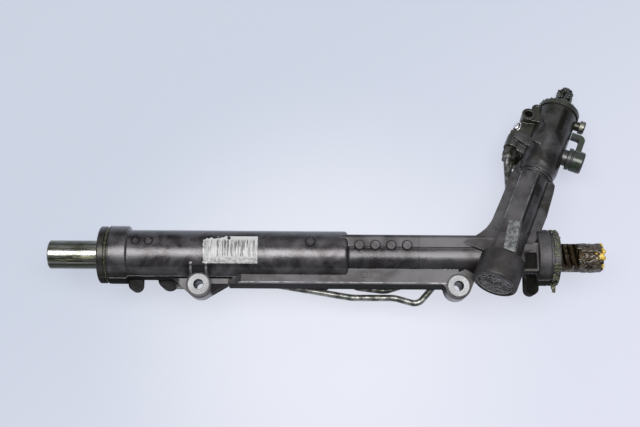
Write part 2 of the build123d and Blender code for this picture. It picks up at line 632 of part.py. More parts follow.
    # ---- Bores ----
    turn(RACK_TURN, (
        (-half_housing - 1, -half_housing + RECESS_LEFT_DEPTH, 0, RECESS_R),
        (-half_housing + RECESS_LEFT_DEPTH - 1, CHAMBER_LEFT_X, 0, GLAND_R),
        (CHAMBER_LEFT_X - 1, CHAMBER_RIGHT_X, 0, CYLINDER_BORE_R),
        (CHAMBER_RIGHT_X - 1, backup_end, 0, INNER_SEAL_R),
        (CHAMBER_RIGHT_X, half_housing, 0, rack_bore_r),
        (half_housing - RECESS_RIGHT_DEPTH, half_housing + 1, 0, RECESS_R)), mode=Mode.SUBTRACT)
    turn(RACK_TURN, ((gland_left - GLAND_RING_THICKNESS - 0.1, gland_left, 0, gland_ring_r),),
         mode=Mode.SUBTRACT)
    turn(YOKE_TURN, (
        (0, YOKE_BACK + 1, 0, YOKE_BORE_R),
        (YOKE_BACK + 1, YOKE_BOSS_END + 1, 0, YOKE_PLUG_R)), mode=Mode.SUBTRACT)
    turn(TOWER_TURN, (
        (tower_bottom - 1, bearing_bottom, 0, LOWER_BEARING_R + CAP_RIM),
        (bearing_bottom - 1, bearing_top, 0, LOWER_BEARING_R),
        (bearing_top - 1, VALVE_SEAT_S + 1, 0, PINION_BORE_R),
        (VALVE_SEAT_S, TOWER_TOP_S + 1, 0, VALVE_BORE_R),
        (circlip_start, circlip_end, 0, VALVE_BORE_R + CIRCLIP_DEPTH)), mode=Mode.SUBTRACT)
    # Bolt holes, and the groove round each machined ring
    with BuildSketch(Plane.XY.offset(EYE_HEIGHT)):
        with Locations(left_eye, right_eye):
            Circle(MOUNT_HOLE_R)
    extrude(amount=-EYE_HEIGHT, mode=Mode.SUBTRACT)
    with BuildSketch(Plane.XY.offset(EYE_HEIGHT)):
        with Locations(left_eye, right_eye):
            Circle(EYE_FACE_R + EYE_GROOVE)
            Circle(EYE_FACE_R, mode=Mode.SUBTRACT)
    extrude(amount=-EYE_GROOVE, mode=Mode.SUBTRACT)
    # Cylinder ports: a spot face and a tapped hole facing +X, and a drilling into the chamber
    for centre in (LEFT_PORT, RIGHT_PORT):
        with BuildSketch(cylinder_port(centre)):
            Circle(PORT_R + 3)
        extrude(amount=PIPE_NUT_LENGTH, mode=Mode.SUBTRACT)
        with BuildSketch(cylinder_port(centre)):
            Circle(PORT_R)
        extrude(amount=-PIPE_SOCKET - 1, mode=Mode.SUBTRACT)
        with BuildSketch(Plane(origin=(*centre, PORT_Z), x_dir=(1, 0, 0), z_dir=(0, 1, 0.55))):
            Circle(1.8)
        extrude(amount=24, mode=Mode.SUBTRACT)
    # Valve ports: two for the cylinder pipes, the plugged gallery, the feed and the side plug
    for side, lift in VALVE_PORTS:
        with BuildSketch(valve_port(side, lift)):
            Circle(PORT_R + 3)
        extrude(amount=PIPE_NUT_LENGTH, mode=Mode.SUBTRACT)
        with BuildSketch(valve_port(side, lift)):
            Circle(PORT_R)
        extrude(amount=-PIPE_SOCKET - 1, mode=Mode.SUBTRACT)
    with BuildSketch(GALLERY_PLANE):
        Circle(GALLERY_BOSS_R)
    extrude(amount=12, mode=Mode.SUBTRACT)
    with BuildSketch(GALLERY_PLANE):
        Circle(GALLERY_R)
    extrude(amount=-GALLERY_SHANK - 1, mode=Mode.SUBTRACT)
    with BuildSketch(tower_face(RETURN_PORT_LIFT)):
        with Locations((RETURN_PORT_S, RETURN_PORT_W)):
            Circle(RETURN_PORT_R)
    extrude(amount=RETURN_PORT_DEPTH, mode=Mode.SUBTRACT)
    with BuildSketch(tower_side(FEED_NECK_W)):
        with Locations((FEED_PORT_S, 0)):
            Circle(FEED_PORT_R)
    extrude(amount=VALVE_BORE_R - FEED_NECK_W - 2, mode=Mode.SUBTRACT)
    with BuildSketch(tower_side(SIDE_PLUG_W)):
        with Locations((SIDE_PLUG_S, 0)):
            Circle(SIDE_STEM_R)
    extrude(amount=-SIDE_STEM_LENGTH - 1, mode=Mode.SUBTRACT)
finish(housing, "housing")

# ==== Rack bar, its teeth and its piston ======================================================
normal_pitch = NORMAL_MODULE * pi
tooth_dir = TOWER_DIR * cos(helix) - SIDE_DIR * sin(helix)
axial_pitch = normal_pitch / cos(skew - helix)
mesh_reach = 8.0
spaces_left = int((TRAVEL - BAR_OFFSET + mesh_reach) / axial_pitch) + 1
spaces_right = int((TRAVEL + BAR_OFFSET + mesh_reach) / axial_pitch) + 1
pressure = radians(PRESSURE_ANGLE)


def space_half_width(height):
    """Half the width of a rack tooth space at a height above the bar's axis."""
    return normal_pitch / 4 + BACKLASH / cos(pressure) + (height - rack_reference) * tan(pressure)


space_top = RACK_TIP + 1.0
with BuildSketch() as tooth_space:
    with BuildLine():
        Polyline((-space_half_width(rack_root), rack_root), (space_half_width(rack_root), rack_root),
                 (space_half_width(space_top), space_top), (-space_half_width(space_top), space_top),
                 close=True)
    make_face()

with BuildPart() as rack_bar:
    turn(RACK_TURN, ((bar_left, bar_right, 0, BAR_R),))
    chamfer(rack_bar.edges().filter_by(GeomType.CIRCLE), BAR_CHAMFER)
    # The flat that the teeth are cut in
    with BuildSketch(Plane(origin=yoke_origin + LIFT_DIR * RACK_TIP, x_dir=X_DIR, z_dir=LIFT_DIR)):
        with Locations(((spaces_right - spaces_left) * axial_pitch / 2, 0)):
            Rectangle((spaces_left + spaces_right + 1) * axial_pitch, 2 * BAR_R + 2)
    extrude(amount=BAR_R, mode=Mode.SUBTRACT)
    # Tooth spaces, slanted to suit the pinion's helix and the tower's skew
    with BuildSketch(Plane(origin=yoke_origin, x_dir=LIFT_DIR.cross(tooth_dir), z_dir=tooth_dir)):
        with Locations(*[(place * normal_pitch, 0) for place in range(-spaces_right, spaces_left + 1)]):
            add(tooth_space.sketch)
    extrude(amount=2 * BAR_R, both=True, mode=Mode.SUBTRACT)
    # Threads for the inner tie rods
    turn(RACK_TURN, (
        (bar_left - 1, bar_left + BAR_THREAD_DEPTH, 0, BAR_THREAD_R),
        (bar_right - BAR_THREAD_DEPTH, bar_right + 1, 0, BAR_THREAD_R)), mode=Mode.SUBTRACT)
finish(rack_bar, "rack_bar")

with BuildPart() as piston:
    turn(RACK_TURN, ((piston_x - PISTON_WIDTH / 2, piston_x + PISTON_WIDTH / 2, BAR_R + SEAT, PISTON_R),))
    turn(RACK_TURN, ((piston_x - PISTON_RING_WIDTH / 2 - SEAT, piston_x + PISTON_RING_WIDTH / 2 + SEAT,
                      PISTON_R - PISTON_RING_DEPTH, PISTON_R + 1),), mode=Mode.SUBTRACT)
finish(piston, "piston")

with BuildPart() as piston_ring:
    turn(RACK_TURN, ((piston_x - PISTON_RING_WIDTH / 2, piston_x + PISTON_RING_WIDTH / 2,
                      PISTON_R - PISTON_RING_DEPTH + SEAT, CYLINDER_BORE_R - RUN),))
finish(piston_ring, "piston_ring")

# ==== Left gland: the carrier that closes the cylinder ========================================
bush_seat_r = BAR_R + RUN + BUSH_WALL
rod_seal_r = BAR_R + RUN + ROD_SEAL_WALL
rod_seal_left = CHAMBER_LEFT_X - ROD_SEAL_WIDTH
gland_groove_x = gland_left + GLAND_LENGTH / 2

with BuildPart() as left_gland:
    turn(RACK_TURN, (
        (gland_left, gland_left + BUSH_LENGTH, bush_seat_r, GLAND_R - SEAT),
        (gland_left + BUSH_LENGTH, rod_seal_left, BAR_R + 2 * CLEAR, GLAND_R - SEAT),
        (rod_seal_left, CHAMBER_LEFT_X, rod_seal_r, GLAND_R - SEAT)))
    turn(RACK_TURN, ((gland_groove_x - O_RING_R - 0.3, gland_groove_x + O_RING_R + 0.3,
                      GLAND_R - 2 * O_RING_R, GLAND_R + 1),), mode=Mode.SUBTRACT)
finish(left_gland, "left_gland")

with BuildPart() as gland_o_ring:
    with BuildSketch(RACK_TURN):
        with Locations((gland_groove_x, GLAND_R - O_RING_R)):
            Circle(O_RING_R - SEAT)
    revolve(axis=Axis(rack_origin, X_DIR))
finish(gland_o_ring, "gland_o_ring")

with BuildPart() as gland_retaining_ring:
    turn(RACK_TURN, ((gland_left - GLAND_RING_THICKNESS, gland_left - SEAT,
                      GLAND_R - 3.0, gland_ring_r - SEAT),))
    with BuildSketch(rack_station(gland_left - GLAND_RING_THICKNESS - 1)):
        with Locations((0, GLAND_R)):
            Rectangle(9, 9)
    extrude(amount=GLAND_RING_THICKNESS + 2, mode=Mode.SUBTRACT)
finish(gland_retaining_ring, "gland_retaining_ring")

with BuildPart() as rack_bush:
    turn(RACK_TURN, ((gland_left + 0.2, gland_left + BUSH_LENGTH, BAR_R + RUN, bush_seat_r - SEAT),))
finish(rack_bush, "rack_bush")

with BuildPart() as outer_rod_seal:
    turn(RACK_TURN, ((rod_seal_left + SEAT, CHAMBER_LEFT_X - 0.4, BAR_R + RUN, rod_seal_r - SEAT),))
finish(outer_rod_seal, "outer_rod_seal")

with BuildPart() as inner_rod_seal:
    turn(RACK_TURN, ((CHAMBER_RIGHT_X + 0.3, inner_seal_end - SEAT, BAR_R + RUN, INNER_SEAL_R - SEAT),))
finish(inner_rod_seal, "inner_rod_seal")

with BuildPart() as seal_backup_ring:
    turn(RACK_TURN, ((inner_seal_end, backup_end - SEAT, BAR_R + CLEAR, INNER_SEAL_R - SEAT),))
finish(seal_backup_ring, "seal_backup_ring")

# ==== Pinion ==================================================================================
# Involute section in the plane square to the pinion's axis
transverse_pressure = atan(tan(pressure) / cos(helix))
base_r = reference_r * cos(transverse_pressure)
half_tooth_angle = (pi / 2 + 2 * PROFILE_SHIFT * tan(pressure)) / TEETH
twist = degrees(tan(helix) / reference_r * GEAR_FACE)


def roll_angle(radius):
    """Angle from the root of an involute to the point that it reaches at this radius."""
    pressure_there = acos(min(1.0, base_r / radius))
    return tan(pressure_there) - pressure_there


def flank_angle(radius):
    """Half the angle that one pinion tooth spans at this radius."""
    return half_tooth_angle + roll_angle(reference_r) - roll_angle(radius)


def polar(radius, angle):
    """Point of the gear's section at this radius and angle."""
    return (radius * cos(angle), radius * sin(angle))


flank_radii = [base_r + (PINION_TIP_R - base_r) * step / 4 for step in range(5)]
with BuildSketch() as gear_tooth:
    with BuildLine():
        right = Spline(*[polar(radius, -flank_angle(radius)) for radius in flank_radii])
        left = Spline(*[polar(radius, flank_angle(radius)) for radius in flank_radii])
        RadiusArc(right @ 1, left @ 1, -PINION_TIP_R)
        Line(right @ 0, polar(root_r - 1, -flank_angle(base_r)))
        Line(left @ 0, polar(root_r - 1, flank_angle(base_r)))
        Line(polar(root_r - 1, -flank_angle(base_r)), polar(root_r - 1, flank_angle(base_r)))
    make_face()
with BuildSketch(tower_station(gear_low)) as gear_section:
    Circle(root_r)
    with PolarLocations(0, TEETH, start_angle=180 - twist / 2):
        add(gear_tooth.sketch)
gear = Solid.extrude_linear_with_rotation(
    gear_section.sketch.faces()[0], tower_point(gear_low), TOWER_DIR * GEAR_FACE, twist)

with BuildPart() as pinion_shaft:
    add(gear)
    turn(TOWER_TURN, (
        (nut_bottom, bearing_bottom, 0, LOWER_BEARING_BORE_R - 0.5),
        (bearing_bottom, bearing_top, 0, LOWER_BEARING_BORE_R - SEAT),
        (bearing_top, gear_low, 0, LOWER_BEARING_BORE_R + 1.5),
        (gear_high, VALVE_SEAT_S, 0, NECK_R),
        (VALVE_SEAT_S, sleeve_start + 0.5, 0, MID_BEARING_BORE_R - SEAT),
        (sleeve_start + 0.5, sleeve_start + SLEEVE_SKIRT_DEPTH - 0.5, 0, SLEEVE_SKIRT_R - SEAT),
        (sleeve_start + SLEEVE_SKIRT_DEPTH - 0.5, sleeve_start + SLEEVE_SKIRT_DEPTH, 0, MID_BEARING_BORE_R)))
    turn(TOWER_TURN, ((TORSION_FOOT_S, rotor_start, 0, TORSION_HEAD_R + 2 * RUN),), mode=Mode.SUBTRACT)
finish(pinion_shaft, "pinion_shaft")

# ==== Ball bearings ===========================================================================
BALL_GAP = 0.25             # ball to the bottom of its race groove


def race_section(start, width, inner, outer, pitch_r, ball_r):
    """Half section of one bearing race, with its ball groove cut out of it."""
    with BuildSketch(TOWER_TURN) as race:
        with Locations((start + width / 2, (inner + outer) / 2)):
            Rectangle(width, outer - inner)
        with Locations((start + width / 2, pitch_r)):
            Circle(ball_r + BALL_GAP, mode=Mode.SUBTRACT)
    return race.sketch


def ball_bearing(place, start, width, bore_r, outer_r, ball_r, balls):
    """Write the outer race, the inner race and the balls of one bearing."""
    pitch_r = (bore_r + outer_r) / 2
    land = 0.55 * ball_r
    with BuildPart() as outer_race:
        revolve(race_section(start, width, pitch_r + land, outer_r - SEAT, pitch_r, ball_r),
                axis=Axis(tower_origin, TOWER_DIR))
    finish(outer_race, f"{place}_bearing_outer_race")
    with BuildPart() as inner_race:
        revolve(race_section(start + SEAT, width - 2 * SEAT, bore_r, pitch_r - land, pitch_r, ball_r),
                axis=Axis(tower_origin, TOWER_DIR))
    finish(inner_race, f"{place}_bearing_inner_race")
    with BuildPart() as ball_set:
        with Locations(tower_station(start + width / 2)):
            with PolarLocations(pitch_r, balls):
                Sphere(ball_r)
    finish(ball_set, f"{place}_bearing_balls")


ball_bearing("lower", bearing_bottom, LOWER_BEARING_WIDTH, LOWER_BEARING_BORE_R, LOWER_BEARING_R,
             LOWER_BALL_R, LOWER_BALLS)
ball_bearing("middle", VALVE_SEAT_S, MID_BEARING_WIDTH, MID_BEARING_BORE_R, VALVE_BORE_R,
             MID_BALL_R, MID_BALLS)
ball_bearing("top", top_bearing_start, TOP_BEARING_WIDTH, TOP_BEARING_BORE_R, VALVE_BORE_R,
             TOP_BALL_R, TOP_BALLS)

with BuildPart() as pinion_lock_nut:
    with BuildSketch(tower_station(nut_bottom + SEAT)):
        RegularPolygon(LOCK_NUT_AF / 2, 6, major_radius=False)
        Circle(LOWER_BEARING_BORE_R - 0.5, mode=Mode.SUBTRACT)
    extrude(amount=LOCK_NUT_HEIGHT - 2 * SEAT)
finish(pinion_lock_nut, "pinion_lock_nut")

with BuildPart() as pinion_bottom_cap:
    turn(TOWER_TURN, (
        (cap_bottom, cap_top, 0, LOWER_BEARING_R + CAP_RIM - SEAT),
        (cap_top - SEAT, nut_bottom - CLEAR, LOWER_BEARING_R - 3, LOWER_BEARING_R + CAP_RIM - SEAT)))
    turn(TOWER_TURN, ((cap_bottom - 1, cap_bottom + 1.4, 0, LOWER_BEARING_R - 4),), mode=Mode.SUBTRACT)
    with BuildSketch(tower_station(cap_bottom + 1.4)):
        RegularPolygon(7, 6, major_radius=False)
    extrude(amount=1.6, mode=Mode.SUBTRACT)
finish(pinion_bottom_cap, "pinion_bottom_cap")

# ==== Rotary valve ============================================================================
with BuildPart() as lower_valve_seal:
    turn(TOWER_TURN, ((mid_bearing_end + 0.1, valve_seal_end,
                       MID_BEARING_BORE_R + RUN, VALVE_BORE_R - SEAT),))
finish(lower_valve_seal, "lower_valve_seal")

with BuildPart() as valve_sleeve:
    turn(TOWER_TURN, (
        (sleeve_start, sleeve_start + SLEEVE_SKIRT_DEPTH, SLEEVE_SKIRT_R, SLEEVE_R),
        (sleeve_start + SLEEVE_SKIRT_DEPTH, sleeve_end, ROTOR_R + 2 * RUN, SLEEVE_R)))
    # Seal ring grooves, and between them the oil galleries with their feed holes
    for place in range(RING_COUNT):
        ring_s = sleeve_start + RING_FIRST + place * RING_PITCH
        turn(TOWER_TURN, ((ring_s - RING_WIDTH / 2 - 0.1, ring_s + RING_WIDTH / 2 + 0.1, RING_R_IN - 0.1,
                           SLEEVE_R + 1),), mode=Mode.SUBTRACT)
    for place in range(RING_COUNT - 1):
        gallery_s = sleeve_start + RING_FIRST + (place + 0.5) * RING_PITCH
        turn(TOWER_TURN, ((gallery_s - 1.8, gallery_s + 1.8, SLEEVE_R - 1.2, SLEEVE_R + 1),),
             mode=Mode.SUBTRACT)
        for hole in range(3):
            hole_axis = LIFT_DIR.rotate(Axis((0, 0, 0), TOWER_DIR), 120 * hole + 40 * place)
            with BuildSketch(Plane(origin=tower_point(gallery_s), x_dir=TOWER_DIR, z_dir=hole_axis)):
                Circle(1.3)
            extrude(amount=VALVE_BORE_R, mode=Mode.SUBTRACT)
finish(valve_sleeve, "valve_sleeve")

with BuildPart() as sleeve_seal_rings:
    for place in range(RING_COUNT):
        ring_s = sleeve_start + RING_FIRST + place * RING_PITCH
        turn(TOWER_TURN, ((ring_s - RING_WIDTH / 2, ring_s + RING_WIDTH / 2, RING_R_IN, VALVE_BORE_R - RUN),))
finish(sleeve_seal_rings, "sleeve_seal_rings")

spline_start = SHAFT_END_S - SPLINE_LENGTH
with BuildPart() as input_shaft:
    turn(TOWER_TURN, (
        (rotor_start, top_bearing_start, 0, ROTOR_R),
        (sleeve_end + CLEAR, top_bearing_start, 0, TOP_BEARING_BORE_R + 1.3),
        (top_bearing_start, top_bearing_end, 0, TOP_BEARING_BORE_R - SEAT),
        (top_bearing_end, spline_start, 0, SHAFT_R)))
    with BuildSketch(tower_station(spline_start)):
        with BuildLine():
            Polyline(*[polar(SPLINE_R - SPLINE_DEPTH * (step % 2), pi * step / SPLINE_TEETH)
                       for step in range(2 * SPLINE_TEETH)], close=True)
        make_face()
    extrude(amount=SPLINE_LENGTH)
    # Groove for the clamp bolt, the tapered tip and the bore for the torsion bar
    with BuildSketch(TOWER_TURN):
        with Locations((SHAFT_END_S - 12, SPLINE_R)):
            Rectangle(CLAMP_GROOVE_WIDTH, 2 * (SPLINE_R - CLAMP_GROOVE_R))
        with BuildLine():
            Polyline((SHAFT_END_S - 3, SPLINE_R + 1), (SHAFT_END_S + 1, SPLINE_R + 1),
                     (SHAFT_END_S + 1, SPLINE_R - 2.5), close=True)
        make_face()
    revolve(axis=Axis(tower_origin, TOWER_DIR), mode=Mode.SUBTRACT)
    turn(TOWER_TURN, ((rotor_start - 1, SHAFT_END_S + 1, 0, TORSION_HEAD_R),), mode=Mode.SUBTRACT)
    # Control slots of the rotor
    with BuildSketch(tower_station(rotor_start + 6)):
        with PolarLocations(ROTOR_R, 6):
            Rectangle(2.2, 3.2)
    extrude(amount=sleeve_end - rotor_start - 12, mode=Mode.SUBTRACT)
    with BuildSketch(tower_side(0)):
        with Locations((SHAFT_END_S - 5.5, 0)):
            Circle(TORSION_PIN_R)
    extrude(amount=SPLINE_R + 1, both=True, mode=Mode.SUBTRACT)
finish(input_shaft, "input_shaft")

with BuildPart() as torsion_bar:
    turn(TOWER_TURN, (
        (TORSION_FOOT_S + 0.5, TORSION_FOOT_S + 0.5 + TORSION_HEAD_LENGTH, 0, TORSION_HEAD_R),
        (TORSION_FOOT_S + TORSION_HEAD_LENGTH, SHAFT_END_S - 10, 0, TORSION_BAR_R),
        (SHAFT_END_S - 1 - TORSION_HEAD_LENGTH, SHAFT_END_S - 1, 0, TORSION_HEAD_R - SEAT)))
    with BuildSketch(tower_side(0)):
        with Locations((SHAFT_END_S - 5.5, 0)):
            Circle(TORSION_PIN_R)
    extrude(amount=SPLINE_R + 1, both=True, mode=Mode.SUBTRACT)
finish(torsion_bar, "torsion_bar")

with BuildPart() as torsion_pin:
    with BuildSketch(tower_side(0)):
        with Locations((SHAFT_END_S - 5.5, 0)):
            Circle(TORSION_PIN_R - SEAT)
    extrude(amount=SPLINE_R - SPLINE_DEPTH - 0.4, both=True)
finish(torsion_pin, "torsion_pin")

with BuildPart() as input_shaft_seal:
    turn(TOWER_TURN, ((top_bearing_end + 0.1, shaft_seal_end, SHAFT_R + RUN, VALVE_BORE_R - SEAT),))
    turn(TOWER_TURN, ((top_bearing_end + 1.6, shaft_seal_end + 1, SHAFT_R + 2.2, VALVE_BORE_R - 2.2),),
         mode=Mode.SUBTRACT)
finish(input_shaft_seal, "input_shaft_seal")

with BuildPart() as shaft_retaining_ring:
    turn(TOWER_TURN, ((circlip_start + SEAT, circlip_end - SEAT, VALVE_BORE_R - 2.4,
                       VALVE_BORE_R + CIRCLIP_DEPTH - SEAT),))
    with BuildSketch(tower_station(circlip_start - 1)):
        with Locations((-VALVE_BORE_R, 0)):
            Rectangle(9, 9)
    extrude(amount=CIRCLIP_THICKNESS + 2, mode=Mode.SUBTRACT)
finish(shaft_retaining_ring, "shaft_retaining_ring")

cap_r = barrel_r + DUST_CAP_WALL
with BuildPart() as dust_cap:
    with BuildSketch(TOWER_TURN):
        with BuildLine():
            FilletPolyline(
                (TOWER_TOP_S - CAP_SKIRT, barrel_r + SEAT), (TOWER_TOP_S - CAP_SKIRT, cap_r),
                (TOWER_TOP_S + DUST_CAP_TOP, cap_r), (TOWER_TOP_S + DUST_CAP_TOP, SHAFT_R + 4),
                (TOWER_TOP_S + DUST_CAP_TOP + 4, SHAFT_R + 2.2),
                (TOWER_TOP_S + DUST_CAP_TOP + 4, SHAFT_R + CLEAR),
                (TOWER_TOP_S + SEAT, SHAFT_R + CLEAR), (TOWER_TOP_S + SEAT, barrel_r + SEAT),
                radius=(0, 0.5, 2, 0.8, 0.6, 0, 0, 0), close=True)
        make_face()
    revolve(axis=Axis(tower_origin, TOWER_DIR))
finish(dust_cap, "dust_cap")

# ==== Yoke ====================================================================================
saddle_r = BAR_R + RUN + YOKE_LINER
yoke_r = YOKE_BORE_R - RUN
yoke_groove_k = YOKE_BACK - 6
plug_face = YOKE_BACK + 1 + SEAT
plug_end = plug_face + YOKE_PLUG_LENGTH
SPRING_SEAT_DEPTH = 5.0
YOKE_HEX_AF = 12.0

with BuildPart() as yoke:
    turn(YOKE_TURN, ((YOKE_START, YOKE_BACK, 0, yoke_r),))
    with BuildSketch(rack_station(PINION_X)):
        Circle(saddle_r + SEAT)
    extrude(amount=YOKE_BORE_R + 1, both=True, mode=Mode.SUBTRACT)
    turn(YOKE_TURN, (
        (YOKE_BACK - YOKE_POCKET_DEPTH, YOKE_BACK + 1, 0, YOKE_POCKET_R),
        (yoke_groove_k - O_RING_R - 0.1, yoke_groove_k + O_RING_R + 0.1, YOKE_BORE_R - 2 * O_RING_R - RUN,
         YOKE_BORE_R + 1)), mode=Mode.SUBTRACT)
finish(yoke, "yoke")

with BuildPart() as yoke_liner:
    turn(YOKE_TURN, ((YOKE_START + 0.5, YOKE_BACK, 0, yoke_r - 0.8),))
    with BuildSketch(rack_station(PINION_X)):
        Circle(saddle_r)
        Circle(BAR_R + RUN, mode=Mode.SUBTRACT)
    extrude(amount=YOKE_BORE_R + 1, both=True, mode=Mode.INTERSECT)
finish(yoke_liner, "yoke_liner")

with BuildPart() as yoke_o_ring:
    with BuildSketch(YOKE_TURN):
        with Locations((yoke_groove_k, YOKE_BORE_R - O_RING_R - RUN)):
            Circle(O_RING_R - SEAT)
    revolve(axis=Axis(yoke_origin, -LIFT_DIR))
finish(yoke_o_ring, "yoke_o_ring")

with BuildPart() as yoke_plug:
    turn(YOKE_TURN, ((plug_face, plug_end, 0, YOKE_PLUG_R - SEAT),))
    turn(YOKE_TURN, ((plug_face - 1, plug_face + SPRING_SEAT_DEPTH, 0, YOKE_POCKET_R),), mode=Mode.SUBTRACT)
    with BuildSketch(yoke_station(plug_end)):
        RegularPolygon(YOKE_HEX_AF / 2, 6, major_radius=False)
    extrude(amount=-5, mode=Mode.SUBTRACT)
finish(yoke_plug, "yoke_plug")

with BuildPart() as yoke_lock_nut:
    with BuildSketch(yoke_station(YOKE_BOSS_END + SEAT)):
        RegularPolygon(YOKE_NUT_AF / 2, 6, major_radius=False)
        Circle(YOKE_PLUG_R, mode=Mode.SUBTRACT)
    extrude(amount=YOKE_NUT_HEIGHT)
finish(yoke_lock_nut, "yoke_lock_nut")

spring_start = YOKE_BACK - YOKE_POCKET_DEPTH + YOKE_FLOAT + SEAT + SPRING_WIRE_R
spring_end = plug_face + SPRING_SEAT_DEPTH - SEAT - SPRING_WIRE_R
with BuildPart() as yoke_spring:
    with BuildLine():
        coil = Helix((spring_end - spring_start) / SPRING_TURNS, spring_end - spring_start, SPRING_R,
                     center=yoke_origin - LIFT_DIR * spring_start, direction=-LIFT_DIR)
    with BuildSketch(Plane(origin=coil @ 0, z_dir=coil % 0)):
        Circle(SPRING_WIRE_R)
    sweep(path=coil, is_frenet=True)
finish(yoke_spring, "yoke_spring")

# ==== Plugs and caps ==========================================================================
with BuildPart() as gallery_plug:
    with BuildSketch(Plane(origin=GALLERY_PLANE.origin, x_dir=GALLERY_PLANE.z_dir, z_dir=GALLERY_PLANE.x_dir)):
        with BuildLine():
            FilletPolyline((-GALLERY_SHANK, 0), (-GALLERY_SHANK, GALLERY_R - SEAT), (SEAT, GALLERY_R - SEAT),
                           (SEAT, GALLERY_BOSS_R - 0.7), (1.6, GALLERY_BOSS_R - 0.7), (1.8, GALLERY_R + 0.4),
                           (4.6, GALLERY_R - 0.6), (GALLERY_DOME, 0),
                           radius=(0, 0, 0.4, 0.5, 0, 2.2), close=False)
            Line((GALLERY_DOME, 0), (-GALLERY_SHANK, 0))
        make_face()
    revolve(axis=Axis(GALLERY_PLANE.origin, GALLERY_PLANE.z_dir))
finish(gallery_plug, "gallery_plug")

FEED_CAP_R = 12.3
FEED_CAP_LENGTH = 18.4
STRAP_S = 170.0
FEED_TURN = Plane(origin=tower_point(FEED_PORT_S, FEED_NECK_W), x_dir=SIDE_DIR, z_dir=LIFT_DIR)
with BuildPart() as feed_port_cap:
    with BuildSketch(FEED_TURN):
        with BuildLine():
            FilletPolyline((-8, 0), (-8, FEED_PORT_R - SEAT), (SEAT, FEED_PORT_R - SEAT), (SEAT, FEED_CAP_R),
                           (4, FEED_CAP_R), (4.6, FEED_CAP_R - 0.8), (5.6, FEED_CAP_R - 0.8), (6.2, FEED_CAP_R),
                           (FEED_CAP_LENGTH, FEED_CAP_R), (FEED_CAP_LENGTH, 0),
                           radius=(0, 0, 0.6, 0, 0.2, 0.2, 0.2, 2.4), close=False)
            Line((FEED_CAP_LENGTH, 0), (-8, 0))
        make_face()
    revolve(axis=Axis(FEED_TURN.origin, SIDE_DIR))
    # Strap that joins the cap to the valve barrel
    with BuildSketch(tower_face(3.2)):
        with BuildLine():
            FilletPolyline(
                (FEED_PORT_S + 6, 32), (FEED_PORT_S + 6, 38.5), (STRAP_S, 38.5), (STRAP_S, barrel_r + 0.4),
                (STRAP_S - 6.5, barrel_r + 0.4), (STRAP_S - 6.5, 32),
                radius=(0, 0, 7, 0, 0, 2.5), close=True)
        make_face()
    extrude(amount=6.4)
finish(feed_port_cap, "feed_port_cap")

SIDE_TURN = Plane(origin=tower_point(SIDE_PLUG_S, SIDE_PLUG_W), x_dir=SIDE_DIR, z_dir=LIFT_DIR)
with BuildPart() as side_plug:
    with BuildSketch(SIDE_TURN):
        with BuildLine():
            FilletPolyline((-SIDE_STEM_LENGTH, 0), (-SIDE_STEM_LENGTH, SIDE_STEM_R - SEAT),
                           (SEAT, SIDE_STEM_R - SEAT), (SEAT, SIDE_PLUG_R),
                           (SIDE_PLUG_HEAD, SIDE_PLUG_R), (SIDE_PLUG_HEAD, 0),
                           radius=(0, 0, 0.6, 2), close=False)
            Line((SIDE_PLUG_HEAD, 0), (-SIDE_STEM_LENGTH, 0))
        make_face()
    revolve(axis=Axis(SIDE_TURN.origin, SIDE_DIR))
finish(side_plug, "side_plug")

# ==== Pipes ===================================================================================
long_start = cylinder_port(LEFT_PORT)
short_start = cylinder_port(RIGHT_PORT)
long_end = valve_port(*VALVE_PORTS[0])
short_end = valve_port(*VALVE_PORTS[1])


def out_of(port, distance):
    """Point this far out of a port, on its axis."""
    return port.origin + port.z_dir * distance


long_route = [
    out_of(long_start, -PIPE_SOCKET), out_of(long_start, 13), Vector(-144.5, 19, -9.5),
    Vector(-110, 15.5, -8), Vector(-54, 4.5, -3.5), Vector(26, -8.6, -2.5), Vector(72, -8.4, -2.5),
    Vector(97, -15.5, -2.5), Vector(113, 3, -4), Vector(134, 25, -9), Vector(160, 42, -12),
    Vector(181, 56, -12), tower_point(55, -11, -25), tower_point(88, -24, -18),
    out_of(long_end, 16), out_of(long_end, -PIPE_SOCKET)]
long_bends = (7, 10, 30, 60, 60, 40, 12, 14, 60, 60, 40, 16, 30, 10)
short_route = [
    out_of(short_start, -PIPE_SOCKET), out_of(short_start, 17), Vector(30, 3.0, -4.5),
    Vector(62, -0.8, -4.0), Vector(88, 8, -6), Vector(120, 28, -12), Vector(150, 46, -17),
    Vector(178, 58, -20), tower_point(48, 2, -36), tower_point(84, -12, -31),
    out_of(short_end, 17), out_of(short_end, -PIPE_SOCKET)]
short_bends = (12, 20, 24, 30, 60, 60, 60, 16, 30, 12)


def pipe(route, bends):
    """Steel tube along a route of straight runs and tangent bends."""
    with BuildLine():
        line = FilletPolyline(*route, radius=bends)
    with BuildSketch(Plane(origin=line @ 0, z_dir=line % 0)) as section:
        Circle(PIPE_R)
        Circle(PIPE_R - PIPE_WALL, mode=Mode.SUBTRACT)
    sweep(section.sketch, path=line)


with BuildPart() as long_pipe:
    pipe(long_route, long_bends)
finish(long_pipe, "long_pipe")

with BuildPart() as short_pipe:
    pipe(short_route, short_bends)
finish(short_pipe, "short_pipe")

with BuildPart() as pipe_nuts:
    for port in (long_start, short_start, long_end, short_end):
        with BuildSketch(port.offset(-PIPE_NUT_GRIP)):
            Circle(PORT_R - SEAT)
            Circle(PIPE_R + SEAT, mode=Mode.SUBTRACT)
        extrude(amount=PIPE_NUT_GRIP + 2 * SEAT)
        with BuildSketch(port.offset(SEAT)):
            RegularPolygon(PIPE_NUT_AF / 2, 6, major_radius=False)
            Circle(PIPE_R + SEAT, mode=Mode.SUBTRACT)
        extrude(amount=PIPE_NUT_LENGTH - PIPE_NUT_GRIP)
finish(pipe_nuts, "pipe_nuts")
